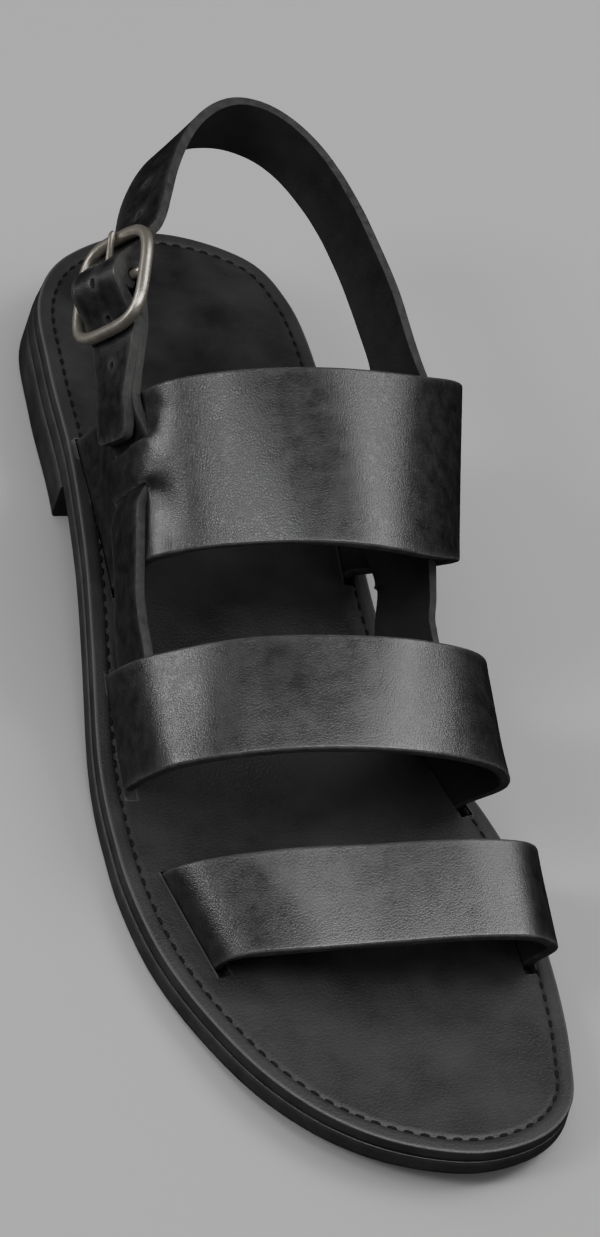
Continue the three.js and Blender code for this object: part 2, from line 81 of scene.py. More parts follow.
# The edges of the straps. arch holds (across, up): shares of half the ball width and of the instep height
STRAP_EDGES = {
    "toe_rear": {
        "at": 0.7074, "skew": 0.06, "lean": 0.42, "medial_lean": 0.42,
        "arch": (
            (-0.865, 0), (-0.845, 0.07), (-0.76, 0.17), (-0.43, 0.32), (0.0, 0.385), (0.45, 0.45),
            (0.75, 0.405), (0.9, 0.23), (0.87, 0),
        ),
    },
    "toe_front": {
        "at": 0.8028, "skew": 0.06, "lean": 0.38, "medial_lean": 0.38,
        "arch": (
            (-0.745, 0), (-0.73, 0.09), (-0.63, 0.18), (-0.3, 0.24), (0.05, 0.305), (0.42, 0.36),
            (0.68, 0.335), (0.86, 0.19), (0.85, 0),
        ),
    },
    "middle_rear": {
        "at": 0.5165, "skew": 0.1, "lean": 0.5, "medial_lean": 0.5,
        "arch": (
            (-0.905, 0), (-0.885, 0.15), (-0.81, 0.31), (-0.5, 0.58), (-0.08, 0.69), (0.35, 0.69),
            (0.7, 0.56), (0.83, 0.3), (0.62, 0),
        ),
    },
    "middle_front": {
        "at": 0.6236, "skew": 0.1, "lean": 0.45, "medial_lean": 0.45,
        "arch": (
            (-0.935, 0), (-0.92, 0.14), (-0.83, 0.35), (-0.55, 0.53), (-0.16, 0.63), (0.3, 0.61),
            (0.68, 0.48), (0.87, 0.25), (0.8, 0),
        ),
    },
    "instep_rear": {
        "at": 0.2665, "skew": -0.08, "lean": 0.57, "medial_lean": 0.7,
        "arch": (
            (-0.745, 0), (-0.74, 0.4), (-0.693, 0.733), (-0.543, 0.862), (-0.34, 0.95), (-0.045, 1.0),
            (0.25, 0.99), (0.56, 0.93), (0.84, 0.8), (1.0, 0.62), (0.98, 0.42), (0.81, 0.2), (0.62, 0),
        ),
    },
    "instep_front": {
        "at": 0.4342, "skew": -0.036, "lean": 0.52, "medial_lean": 0.76,
        "arch": (
            (-0.779, 0), (-0.8, 0.22), (-0.783, 0.41), (-0.682, 0.495), (-0.533, 0.587), (-0.38, 0.664),
            (-0.188, 0.745), (-0.011, 0.776), (0.243, 0.757), (0.5, 0.67), (0.7, 0.54), (0.8, 0.41),
            (0.78, 0.28), (0.66, 0.13), (0.527, 0),
        ),
    },
}

# The side bands on the straps' faces: face, u, v and the level, which says how they pass the strap
LATERAL_END = (("middle", 0.0675, 0.4, "inside"), ("middle", 0.0665, 0.05, "inside"))
MEDIAL_END = (("middle", 0.928, 0.4, "inside"), ("middle", 0.948, 0.05, "inside"))
LATERAL_WEAVE = (
    ("instep", 0.098, 1.12, "outside"),
    ("instep", 0.1256, 0.84, "outside"),
    ("instep", 0.145, 0.56, "through"),
    ("instep", 0.158, 0.42, "inside"),
    ("instep", 0.17, 0.28, "through"),
    ("instep", 0.18, 0.05, "outside"),
)
MEDIAL_WEAVE = (
    ("instep", 0.8835, 1.08, "inside"),
    ("instep", 0.9, 0.84, "inside"),
    ("instep", 0.885, 0.56, "through"),
    ("instep", 0.875, 0.42, "outside"),
    ("instep", 0.865, 0.28, "through"),
    ("instep", 0.85, 0.1, "clear"),
)
TAIL_ROWS = (("instep", 0.18, 0.02, "tail"), ("instep", 0.158, 0.25, "tail_end"))

# The bands' free places: across, along, up, lean and heading in degrees
FREE_COLUMNS = ("across", "along", "up", "lean", "heading")
LATERAL_GAP = (-0.824, 0.511, 0.38, 0, 0)
MEDIAL_GAP = (0.606, 0.511, 0.376, -23, 180)
SLING_ROWS = (
    (0.772, 0.295, 0.805, -5, 180),
    (0.741, 0.243, 0.876, -9, 178),
    (0.72, 0.202, 0.899, -5, 185),
    (0.701, 0.169, 0.917, -4, 190),
    (0.663, 0.133, 0.936, -2, 198),
    (0.636, 0.097, 0.927, -2, 205),
    (0.51, 0.062, 0.975, 4, 225),
    (0.35, 0.042, 1.01, 6, 255),
    (0.18, 0.0375, 1.035, 9, 270),
    (0.023, 0.046, 1.059, 17, 290),
    (-0.198, 0.074, 1.063, 24, 318),
    (-0.351, 0.1127, 1.056, 28, 333),
    (-0.476, 0.156, 1.058, 30, 338),
    (-0.537, 0.19, 1.06, 28, 340),
)

# How deep joined leathers lie in each other, the room round fitted pieces, and the flare of the layers
JOIN_DEPTH = 0.00025
FIT_GAP = 0.0003
OUTSOLE_TOP_FLARE, FOOTBED_FLARE = 0.0004, 0.00035

# The buckle: its own directions, its place as shares of half the ball width, of the sole's length and of
# the instep height, and how square its frame is
BUCKLE_ACROSS, BUCKLE_HEELWARDS = (0.285, -0.457, 0.843), (0.241, 0.885, 0.398)
BUCKLE_PLACE = (-0.762, 0.2482, 1.027)
FRAME_SQUARENESS, WIRE_SQUARENESS = 3.6, 0.7

# Knots of the band in the buckle, as shares of the turn over the bar and under the rails
BAR_SHARES = (1, 0.5, 0, -0.5, -1)
RAIL_SHARES = (0, 0.5, 1)

# The prong stands off the band's middle. The strap's holes: places along it, and their radius
PRONG_SHIFT = 0.0009
HOLE_RUNS = (0.233, 0.2455, 0.2745, 0.2835, 0.2955)
PUNCH = 0.0011

# Soft creases of the straps, run and width from the lateral slot's rear corner
CREASE_COLUMNS = ("run", "width", "length", "breadth", "turn", "height")
TOE_CREASES = (
    (0.030, 0.012, 0.010, 0.0035, 75, -0.0003), (0.062, 0.014, 0.016, 0.006, 82, 0.0003),
    (0.098, 0.011, 0.012, 0.004, 100, -0.0003), (0.112, 0.016, 0.008, 0.003, 70, -0.0002),
)
MIDDLE_CREASES = (
    (0.030, 0.014, 0.014, 0.005, 84, -0.0003), (0.055, 0.018, 0.012, 0.007, 70, 0.00035),
    (0.092, 0.012, 0.016, 0.006, 96, -0.0003), (0.118, 0.016, 0.014, 0.006, 104, 0.0003),
)
INSTEP_CREASES = (
    (0.055, 0.026, 0.020, 0.007, 80, 0.0004), (0.078, 0.018, 0.022, 0.008, 96, -0.0004),
    (0.104, 0.030, 0.024, 0.009, 84, 0.0004), (0.128, 0.020, 0.020, 0.008, 98, -0.0003),
    (0.052, 0.006, 0.006, 0.002, 20, -0.0002), (0.146, 0.036, 0.010, 0.004, 30, -0.0003),
)


def length_prop(label, text, value):
    """A length in metres that the user can change"""
    return bpy.props.FloatProperty(
        name=label, description=text, default=value, min=0, unit="LENGTH", precision=5
    )


def colour_prop(label, text, value):
    """A colour that the user can change"""
    return bpy.props.FloatVectorProperty(
        name=label, description=text, default=value, min=0, max=1, size=3, subtype="COLOR"
    )


class SandalSizes(bpy.types.PropertyGroup):
    """The sandal's sizes, in metres"""

    sole_length: length_prop("Sole length", "Length of the footbed", 0.284)
    ball_width: length_prop("Ball width", "The width that the outline's shares are taken of", 0.0967)
    outsole_thickness: length_prop("Outsole thickness", "The bottom layer of leather", 0.0042)
    footbed_thickness: length_prop("Footbed thickness", "The layer that the foot lies on", 0.003)
    layer_gap: length_prop("Layer gap", "The seam between two layers of the sole", 0.0003)
    heel_height: length_prop("Heel height", "The heel block with its seam", 0.0112)
    heel_length: length_prop("Heel length", "From the heel's back to its breast", 0.084)
    toe_spring: length_prop("Toe spring", "The tip's rise over the floor", 0.0049)
    sole_flare: length_prop("Sole flare", "How far the outsole stands out at its foot", 0.001)
    heel_flare: length_prop("Heel flare", "How far the heel stands out on the floor", 0.0012)
    instep_height: length_prop("Instep height", "The rise that the straps' shares are taken of", 0.065)
    strap_thickness: length_prop("Strap thickness", "Leather of the three straps", 0.0026)
    band_thickness: length_prop("Band thickness", "Leather of the slingback and side bands", 0.0023)
    band_width: length_prop("Band width", "Width of the slingback and side bands", 0.018)
    frame_across: length_prop("Buckle across", "The buckle's outer size across the band", 0.03)
    frame_along: length_prop("Buckle along", "The buckle's outer size along the band", 0.0276)
    frame_wire: length_prop("Buckle wire", "Thickness of the frame's bars", 0.0029)
    bar_wire: length_prop("Bar wire", "Thickness of the centre bar", 0.0024)
    prong_width: length_prop("Prong width", "Width of the buckle's prong", 0.002)
    prong_thickness: length_prop("Prong thickness", "Thickness of the buckle's prong", 0.0017)
    groove_inset: length_prop("Groove inset", "From the footbed's edge to the stitch groove", 0.0039)
    stitch_pitch: length_prop("Stitch pitch", "From one stitch to the next", 0.0037)


class SandalColours(bpy.types.PropertyGroup):
    """The sandal's colours"""

    strap_leather: colour_prop("Strap leather", "Dyed grain side of the straps", (0.0135, 0.0135, 0.014))
    flesh_side: colour_prop("Flesh side", "Dyed inner side of the straps", (0.012, 0.0125, 0.012))
    cut_edge: colour_prop("Cut edge", "Rubbed cut edges of the straps", (0.034, 0.034, 0.033))
    footbed: colour_prop("Footbed", "Waxed leather that the foot lies on", (0.0175, 0.0175, 0.018))
    sole_side: colour_prop("Sole side", "Inked and polished sides of the sole", (0.022, 0.022, 0.0225))
    thread: colour_prop("Thread", "Waxed thread of the sole's stitches", (0.004, 0.004, 0.004))
    buckle: colour_prop("Buckle", "Aged brass of the buckle", (0.33, 0.305, 0.265))
    floor: colour_prop("Floor", "Paper that the sandal stands on", (0.4, 0.4, 0.4))


def unit(rows):
    """Rows of directions, each of length one"""
    rows = np.atleast_2d(rows)
    return rows / np.linalg.norm(rows, axis=1)[:, None]


def smooth(value, low, high):
    """Rises softly from 0 at low to 1 at high"""
    t = np.clip((value - low) / (high - low), 0, 1)
    return t * t * (3 - 2 * t)


def squared(turn, power):
    """The two sides of a rounded square at angles round it"""
    return (np.sign(wave) * np.abs(wave) ** power for wave in (np.cos(turn), np.sin(turn)))


class Curve:
    """A smooth curve through points, which the outline and the straps' edges follow"""

    def __init__(self, points, closed=False, tension=None):
        self.points = np.array(points, float)
        self.closed = closed
        self.tension = tension
        self.spans = len(self.points) - (0 if closed else 1)
        self.shares = np.linspace(0, 1, 80 * self.spans + 1)
        steps = np.linalg.norm(np.diff(self.at(self.shares), axis=0), axis=1)
        self.run = np.concatenate([[0], np.cumsum(steps)])
        self.length = self.run[-1]

    def at(self, share):
        """Points of the curve at shares of its spans"""
        place = np.atleast_1d(np.asarray(share, float)) * self.spans
        if self.closed:
            place = np.mod(place, self.spans)
        span = np.clip(np.floor(place).astype(int), 0, self.spans - 1)
        part = (place - span)[:, None]
        count = len(self.points)
        if self.closed:
            a, b, c, d = (self.points[(span + k) % count] for k in (-1, 0, 1, 2))
        else:
            first = 2 * self.points[0] - self.points[1]
            last = 2 * self.points[-1] - self.points[-2]
            padded = np.vstack([first, self.points, last])
            a, b, c, d = (padded[span + k] for k in range(4))
        if self.tension is None:
            before, here, after = (
                np.maximum(np.linalg.norm(q - p, axis=1), 1e-12)[:, None] ** 0.5
                for p, q in ((a, b), (b, c), (c, d))
            )
            start = ((b - a) / before - (c - a) / (before + here) + (c - b) / here) * here
            end = ((c - b) / here - (d - b) / (here + after) + (d - c) / after) * here
        else:
            start, end = self.tension * (c - a), self.tension * (d - b)
        square = -3 * b + 3 * c - 2 * start - end
        cube = 2 * b - 2 * c + start + end
        return b + start * part + square * part**2 + cube * part**3

    def tangent(self, share):
        """Directions of the curve at shares of its spans"""
        step = 1e-4
        share = np.atleast_1d(np.asarray(share, float))
        low, high = share - step, share + step
        if not self.closed:
            low, high = np.maximum(low, 0), np.minimum(high, 1)
        way = self.at(high) - self.at(low)
        return way / np.linalg.norm(way, axis=1)[:, None]

    def share_at(self, run):
        """Shares of the spans at lengths along the curve"""
        return np.interp(run, self.run, self.shares)


class Strap:
    """A strap's outer face. s runs along it from the lateral slot, w across it from the rear edge"""

    def __init__(self, last, key):
        rear, front = STRAP_EDGES[key + "_rear"], STRAP_EDGES[key + "_front"]
        self.rear, self.front = last.edge_curve(rear), last.edge_curve(front)
        self.length = self.rear.length
        self.width = (front["at"] - rear["at"]) * last.sizes.sole_length

    def face(self, u, v):
        """Points of the outer face at shares along and across it"""
        u, v = np.atleast_1d(u).astype(float), np.atleast_1d(v).astype(float)
        inside = np.clip(u, 0, 1)
        back = self.rear.at(self.rear.share_at(inside * self.rear.length))
        fore = self.front.at(self.front.share_at(inside * self.front.length))
        point = back + (fore - back) * v[:, None]
        point[:, 2] -= np.abs(u - inside) * self.length
        return point

    def normal(self, u, v):
        """Directions straight out of the face"""
        step = 2e-3
        u, v = np.atleast_1d(u).astype(float), np.atleast_1d(v).astype(float)
        along = self.face(u + step, v) - self.face(u - step, v)
        across = self.face(u, v - step) - self.face(u, v + step)
        return unit(np.cross(along, across))

    def place(self, s, w, depth=0.0):
        """Points at lengths along and across the strap, under its outer face by a depth"""
        u, v = np.asarray(s) / self.length, np.asarray(w) / self.width
        return self.face(u, v) - self.normal(u, v) * np.reshape(depth, (-1, 1))

    def find(self, points, u, v):
        """Shares along and across the face where it comes closest to points, from a first guess"""
        step = 1e-3
        for _ in range(5):
            along = (self.face(u + step, v) - self.face(u - step, v)) / (2 * step)
            across = (self.face(u, v + step) - self.face(u, v - step)) / (2 * step)
            miss = points - self.face(u, v)
            pairs = ((along, along), (across, across), (along, across), (along, miss), (across, miss))
            aa, bb, ab, am, bm = (np.sum(p * q, axis=1) for p, q in pairs)
            spread = aa * bb - ab * ab
            u = u + np.clip((am * bb - bm * ab) / spread, -0.02, 0.02)
            v = v + np.clip((bm * aa - am * ab) / spread, -0.2, 0.2)
        return u, v

    def knot(self, u, v, over):
        """A place of a band that passes over the strap's face by a distance"""
        side = 1 if u < 0.5 else -1
        up = unit(side * (self.face(u + 0.01, v) - self.face(u - 0.01, v)))[0]
        return (self.face(u, v) + self.normal(u, v) * over)[0], up


class Band:
    """A band of leather through its knots. s runs along it, w across it from its middle, upwards"""

    def __init__(self, knots, thickness, outward=1):
        self.outward = outward
        self.line = Curve([centre for centre, up in knots])
        self.ups = Curve([up for centre, up in knots], tension=0.4)
        self.thickness = thickness
        self.length = self.line.length
        self.eased = None

    def ease(self, start, end):
        """Evens out the free run from start to end, as leather under its own tension does"""
        step, reach = 0.0005, 0.006
        runs = np.arange(0, self.length, step)
        share = self.line.share_at(runs)
        rows = np.hstack([self.line.at(share), self.ups.at(share)])
        near = np.arange(-3 * reach, 3 * reach, step)
        weights = np.exp(-((near / reach) ** 2) / 2)
        weights /= weights.sum()
        count = len(weights) // 2
        padded = np.vstack([rows[:1]] * count + [rows] + [rows[-1:]] * (len(weights) - 1 - count))
        even = np.stack([np.convolve(column, weights, "valid") for column in padded.T], axis=1)
        free = smooth(runs, start, start + 0.01) * (1 - smooth(runs, end - 0.01, end))
        moves = (even - rows) * free[:, None]
        self.eased = (runs, moves if self.eased is None else self.eased[1] + moves)

    def directions(self, s):
        """The band's middle, upward direction and outward direction at lengths along it"""
        s = np.clip(np.atleast_1d(s), 0, self.length)
        share = self.line.share_at(s)
        centre, tangent, up = self.line.at(share), self.line.tangent(share), self.ups.at(share)
        if self.eased:
            moves = np.stack([np.interp(s, self.eased[0], column) for column in self.eased[1].T], axis=1)
            centre, up = centre + moves[:, :3], up + moves[:, 3:]
        up = unit(up - tangent * np.sum(up * tangent, axis=1)[:, None])
        return centre, up, np.cross(tangent, up) * self.outward

    def place(self, s, w, depth=0.0):
        """Points at lengths along and across the band, under its outer face by a depth"""
        centre, up, out = self.directions(s)
        over = self.thickness / 2 - np.reshape(depth, (-1, 1))
        return centre + up * np.reshape(w, (-1, 1)) + out * over

    def run_at(self, knot):
        """The length along the band at one of its knots"""
        return float(np.interp(knot / self.line.spans, self.line.shares, self.line.run))


class Weave:
    """A side band's passage through the instep strap's two slits, under the bridge between them"""

    # How far the band is pressed in, the bridge stands out and bulges, and half of a slit's width
    PRESSED, BRIDGE, BULGE, SLIT_HALF = 0.0004, 0.001, 0.0004, 0.0004
    # The band starts to dive this far outside a slit, and is level this far inside it
    OUTSIDE, INSIDE = 0.0065, 0.005
    # How far beyond the band the strap is drawn out with it, and the gap beyond which it isn't
    FADE, NEAR = 0.011, 0.009

    def __init__(self, last, band, first, rows, side):
        self.strap, self.band, self.side = last.straps["instep"], band, side
        self.wall = last.sizes.strap_thickness
        self.runs = np.array([band.run_at(first + k) for k in range(len(rows))])
        self.u, self.v = (np.array([row[k] for row in rows]) for k in (1, 2))
        self.slits = [run for run, row in zip(self.runs, rows) if row[3] == "through"]
        self.slit_reach = last.sizes.band_width / 2 + 0.0005

    def flat_place(self, run, width):
        """Where places of the band lie on the strap's face, as shares along and across it"""
        centre, up = self.band.directions(run)[:2]
        u = np.interp(run, self.runs, self.u) + self.side * width / self.strap.length
        points = centre + up * np.reshape(width, (-1, 1))
        return self.strap.find(points, u, np.interp(run, self.runs, self.v))

    def between(self, run, outside, inside):
        """1 between the slits and 0 before and after them"""
        a, b = self.slits
        return smooth(run, a - outside, a + inside) * (1 - smooth(run, b - inside, b + outside))

    def level(self, run):
        """How far the band's middle lies over the strap's face"""
        low = self.between(run, self.OUTSIDE, self.INSIDE)
        over = self.band.thickness / 2 + 0.0001 - self.PRESSED
        over = over - (over + self.wall - self.BRIDGE + self.band.thickness / 2) * low
        return over if self.side > 0 else -self.wall - over

    def hold(self, run):
        """How firmly the strap holds the band at lengths along it"""
        low, high = self.runs[[0, -1]]
        return smooth(run, low - 0.005, low + 0.001) * (1 - smooth(run, high - 0.007, high + 0.001))

    def place(self, s, w, depth):
        """Places of the band where the strap holds it"""
        u, v = self.flat_place(s, w)
        over = self.level(s) + self.band.thickness / 2 - depth
        return self.strap.face(u, v) + self.strap.normal(u, v) * np.reshape(over, (-1, 1))

    def relief(self, points):
        """How far the bridge stands out of the strap's face, and how far the band presses in the rest"""
        runs = np.linspace(self.runs[0] - 0.012, self.runs[-1] + 0.012, 260)
        centre, up = self.band.directions(runs)[:2]
        miss = points[:, None, :] - centre[None]
        width = np.sum(miss * up[None], axis=2)
        gap = np.sum(miss**2, axis=2) - width**2
        nearest = np.argmin(gap, axis=1)
        rows = np.arange(len(points))
        run, width, gap = runs[nearest], width[rows, nearest], np.sqrt(np.maximum(gap[rows, nearest], 0))
        a, b = self.slits
        beyond = np.maximum(np.abs(width) - self.slit_reach, 0)
        step = self.SLIT_HALF / 2 + beyond * 0.8
        bridge = self.between(run, step, step)
        bulge = np.sin(math.pi * np.clip((run - a) / (b - a), 0, 1))
        height = bridge * (self.PRESSED + self.BRIDGE + self.BULGE * bulge) - self.PRESSED
        return self.side * height * (1 - smooth(beyond, 0, self.FADE)) * (gap < self.NEAR)

    def slit_lines(self):
        """Each slit's two ends and middle in the strap's flat sizes"""
        ends = np.array([-1.0, 0.0, 1.0]) * self.slit_reach
        found = []
        for run in self.slits:
            u, v = self.flat_place(np.full(3, run), ends)
            flat = np.stack([u * self.strap.length, v * self.strap.width], axis=1)
            found.append(flat[np.argsort(flat[:, 0])])
        return found


def woven(band, weaves):
    """A band's place, with the parts that a strap holds laid on that strap"""

    def place(s, w, depth):
        s, w = np.asarray(s, float), np.asarray(w, float)
        depth = np.broadcast_to(np.asarray(depth, float), s.shape)
        where = band.place(s, w, depth)
        for weave in weaves:
            hold = weave.hold(s)
            near = hold > 0
            where[near] += hold[near, None] * (weave.place(s[near], w[near], depth[near]) - where[near])
        return where

    return place


class Tail(Weave):
    """The slingback's end, lying on the chape over the instep strap"""

    def level(self, run):
        """How far the tail's middle lies over the strap's face: lower at its end"""
        low = np.interp(run, self.runs, (0, 1))
        return 1.5 * self.band.thickness + 0.0002 - self.PRESSED - 0.0005 * low

    def hold(self, run):
        """The strap holds the tail to its end"""
        return smooth(run, self.runs[0] - 0.005, self.runs[0] + 0.002)


class Last:
    """The form that the sandal is built on: its outline, its levels and the ways of its straps"""

    def __init__(self, sizes):
        self.sizes = sizes
        length, width = sizes.sole_length, sizes.ball_width
        rows = [dict(zip(OUTLINE_COLUMNS, row)) for row in OUTLINE_ROWS]
        lateral = [(-row["lateral"] * width, row["along"] * length) for row in rows]
        medial = [(row["medial"] * width, row["along"] * length) for row in reversed(rows)]
        points = [(HEEL_POINT * width, 0), *lateral, (TOE_POINT * width, length), *medial]
        self.outline = Curve(points, closed=True)
        self.straps = {key: Strap(self, key) for key in ("toe", "middle", "instep")}
        self.set_buckle()

    def underside(self, along):
        """The tread's height at lengths from the heel's back"""
        length = self.sizes.sole_length
        waist = smooth(along, WAIST_START * length, BALL_START * length)
        toe = np.maximum(0, (along / length - BALL_END) / (1 - BALL_END))
        return self.sizes.heel_height * (1 - waist) + self.sizes.toe_spring * toe**2

    def footbed_base(self):
        """The footbed's underside over the tread"""
        return self.sizes.outsole_thickness + self.sizes.layer_gap

    def footbed_top(self, along):
        """The footbed's top at lengths from the heel's back"""
        return self.underside(along) + self.footbed_base() + self.sizes.footbed_thickness

    def edge(self, ring, inset):
        """Outline points (across, along) at ring places, which start at the heel's back"""
        share = np.asarray(ring, float) / (2 * OUTLINE_SPANS)
        point, way = self.outline.at(share), self.outline.tangent(share)
        return point + np.stack([way[:, 1], -way[:, 0]], axis=1) * np.reshape(inset, (-1, 1))

    def stand(self, across, along, height):
        """Places in the sandal's own frame"""
        y = self.sizes.sole_length / 2 - along
        return np.stack([across, y, height], axis=1) + BOX_MIDDLE

    def edge_curve(self, edge):
        """A strap's edge from its lateral slot over the foot to its medial slot"""
        half, length = self.sizes.ball_width / 2, self.sizes.sole_length
        across, up = (np.array(column, float) for column in zip(*edge["arch"]))
        x, rise = across * half, up * self.sizes.instep_height
        share = np.clip((x - x[0]) / (x[-1] - x[0]), 0, 1)
        base = edge["at"] * length + edge["skew"] * (x - x[0])
        along = base + (edge["lean"] + (edge["medial_lean"] - edge["lean"]) * share) * rise
        return Curve(self.stand(x, along, self.footbed_top(base) + rise))

    def set_buckle(self):
        """The buckle's own directions and the radii round its bars"""
        z = self.sizes
        across, along, up = BUCKLE_PLACE
        middle = (across * z.ball_width / 2, z.sole_length * (0.5 - along), z.instep_height * up)
        self.buckle_centre = np.array(middle) + BOX_MIDDLE
        self.buckle_across, self.buckle_heelwards = unit(BUCKLE_ACROSS)[0], unit(BUCKLE_HEELWARDS)[0]
        self.buckle_out = unit(np.cross(self.buckle_across, self.buckle_heelwards))[0]
        self.bore = z.bar_wire / 2 + FIT_GAP
        wrap = self.bore + z.band_thickness
        self.side_reach = (z.frame_across - z.frame_wire) / 2
        self.rail_reach = (z.frame_along - z.frame_wire) / 2
        self.hump = wrap + z.band_thickness / 2 - JOIN_DEPTH
        self.dip = z.frame_wire / 2 + FIT_GAP + z.band_thickness / 2
        share = (z.band_width / 2 / self.side_reach) ** FRAME_SQUARENESS
        self.belt_reach = self.rail_reach * (1 - share) ** (1 / FRAME_SQUARENESS)
        self.hump_angle = math.asin((self.hump + self.dip) / self.belt_reach)
        self.chape_radius = (self.bore + wrap) / 2
        self.chape_drop = self.dip + z.band_thickness - JOIN_DEPTH

    def in_buckle(self, across, along, out):
        """Places given in the buckle's own directions"""
        ways = (self.buckle_across, self.buckle_heelwards, self.buckle_out)
        parts = (np.reshape(p, (-1, 1)) * way for p, way in zip((across, along, out), ways))
        return self.buckle_centre + sum(parts)

    def buckle_knot(self, along, out):
        """A place of the band in the buckle"""
        return self.in_buckle(0.0, along, out)[0], self.buckle_across

    def free_knot(self, row):
        """A free place of a band"""
        k = dict(zip(FREE_COLUMNS, row))
        turn, tip = math.radians(k["heading"]), math.radians(k["lean"])
        up = np.array([math.cos(turn) * math.sin(tip), math.sin(turn) * math.sin(tip), math.cos(tip)])
        z = self.sizes
        place = (k["across"] * z.ball_width / 2, k["along"] * z.sole_length, k["up"] * z.instep_height)
        return self.stand(*(np.array([v]) for v in place))[0], up

    def on_faces(self, rows):
        """Places of a band on the straps' faces"""
        z = self.sizes
        levels = {
            "outside": z.band_thickness / 2 - JOIN_DEPTH,
            "inside": -(z.strap_thickness + z.band_thickness / 2 - JOIN_DEPTH),
            "through": -z.strap_thickness / 2,
        }
        levels["clear"] = levels["inside"] - 0.002
        levels["tail"] = levels["outside"] + z.band_thickness - JOIN_DEPTH
        levels["tail_end"] = levels["outside"] + z.band_thickness - 0.0006
        return [self.straps[face].knot(u, v, levels[level]) for face, u, v, level in rows]

    def slingback(self):
        """The slingback's way: from the middle strap through the slits and round the heel to its tail"""

        def arc(shares, radius, start, side):
            turns = [self.hump_angle * share for share in shares]
            places = [(start + side * radius * math.sin(t), radius * math.cos(t)) for t in turns]
            return [self.buckle_knot(along, out) for along, out in places]

        over = arc(BAR_SHARES, self.hump, 0, 1)
        under = [arc(RAIL_SHARES, -self.dip, side * self.belt_reach, side) for side in (1, -1)]
        knots = [
            *self.on_faces(MEDIAL_END), self.free_knot(MEDIAL_GAP), *self.on_faces(MEDIAL_WEAVE),
            *[self.free_knot(row) for row in SLING_ROWS],
            *under[0], *over, *reversed(under[1]), *self.on_faces(TAIL_ROWS),
        ]
        band = Band(knots, self.sizes.band_thickness)
        after_bar = len(TAIL_ROWS) + len(RAIL_SHARES) + len(BAR_SHARES) // 2
        band.bar_run = band.run_at(len(knots) - 1 - after_bar)
        first = len(MEDIAL_END) + 1 + len(MEDIAL_WEAVE)
        band.ease(band.run_at(first - 1), band.run_at(first + len(SLING_ROWS)) + 0.004)
        band.ease(-0.01, band.run_at(len(MEDIAL_END) + 2))
        band.weaves = [
            Weave(self, band, len(MEDIAL_END) + 1, MEDIAL_WEAVE, -1),
            Tail(self, band, len(knots) - len(TAIL_ROWS), TAIL_ROWS, 1),
        ]
        return band

    def chape(self):
        """The chape's way: from the middle strap through the slits, then round the buckle's centre bar"""
        reach, drop, radius = self.belt_reach, self.chape_drop, self.chape_radius
        knots = [
            *self.on_faces(LATERAL_END), self.free_knot(LATERAL_GAP), *self.on_faces(LATERAL_WEAVE),
            self.buckle_knot(-reach - 0.003, -drop), self.buckle_knot(-reach, -drop),
            self.buckle_knot(-reach / 2, -(drop + radius) / 2),
        ]
        # Behind the middle strap the band hangs nearly upright
        ends = len(LATERAL_END)
        upright = knots[ends][1]
        knots[:ends] = [(at, unit(up + 2 * upright)[0]) for at, up in knots[:ends]]
        wrap_start = len(knots)
        for degrees in range(-90, 196, 35):
            turn = math.radians(degrees)
            knots.append(self.buckle_knot(radius * math.cos(turn), radius * math.sin(turn)))
        band = Band(knots, self.sizes.band_thickness, -1)
        band.wrap_run = band.run_at(wrap_start)
        band.ease(-0.01, band.run_at(len(LATERAL_END) + 2))
        band.weaves = [Weave(self, band, len(LATERAL_END) + 1, LATERAL_WEAVE, 1)]
        return band


# Building

SIDE_OUTER, SIDE_INNER, SIDE_CUT = 0, 1, 2
STRAP_FINISHES = ("strap grain", "strap flesh side", "strap cut edge")
# Wear reaches this far in from a cut edge. The strap ends stop this far short of the footbed's underside
WEAR_REACH = 0.003
TAB_CLEARANCE = 0.0012


def of_kind(made, kind):
    """The corners, edges or faces among what an operator made"""
    return [item for item in made if isinstance(item, kind)]


def flat_places(verts):
    """The corners' present places as rows"""
    return np.array([v.co for v in verts], float)


def move(verts, places):
    """Puts each corner in its place"""
    for vert, co in zip(verts, places):
        vert.co = co


def new_object(name, mesh):
    """An object in the scene from a mesh in the making"""
    data = bpy.data.meshes.new(name)
    mesh.to_mesh(data)
    mesh.free()
    made = bpy.data.objects.new(name, data)
    bpy.context.scene.collection.objects.link(made)
    return made


def lines(start, end, step, fine=(0.0,)):
    """Evenly spaced grid lines, and fine ones that are given as distances from both ends"""
    count = max(2, int(round((end - start - 2 * fine[-1]) / step)))
    middle = np.linspace(start + fine[-1], end - fine[-1], count + 1)
    return np.concatenate([start + np.array(fine[:-1]), middle, end - np.array(fine[-2::-1])])


def fitted(regular, forced):
    """Grid lines with some exactly where they are asked for, and the others kept clear of them"""
    room = 0.0005
    forced = np.unique(np.round(forced, 6))
    if not len(forced):
        return regular
    return np.sort(np.concatenate([[v for v in regular if np.min(np.abs(forced - v)) > room], forced]))


def cut_blank(runs, widths):
    """A flat blank of leather whose grid lines lie where they are asked for, in the leather's flat sizes"""
    mesh = bmesh.new()
    bmesh.ops.create_grid(mesh, x_segments=len(runs) - 1, y_segments=len(widths) - 1, size=0.5)
    for vert in mesh.verts:
        i = round((vert.co.x + 0.5) * (len(runs) - 1))
        j = round((vert.co.y + 0.5) * (len(widths) - 1))
        vert.co = (runs[i], widths[j], 0)
    return mesh


def cut_windows(mesh, windows):
    """Cuts out the faces whose middle lies in a window: from run, to run, from width, to width"""

    def within(c):
        return any(a < c.x < b and low < c.y < high for a, b, low, high in windows)

    cut = [face for face in mesh.faces if within(face.calc_center_median())]
    bmesh.ops.delete(mesh, geom=cut, context="FACES")


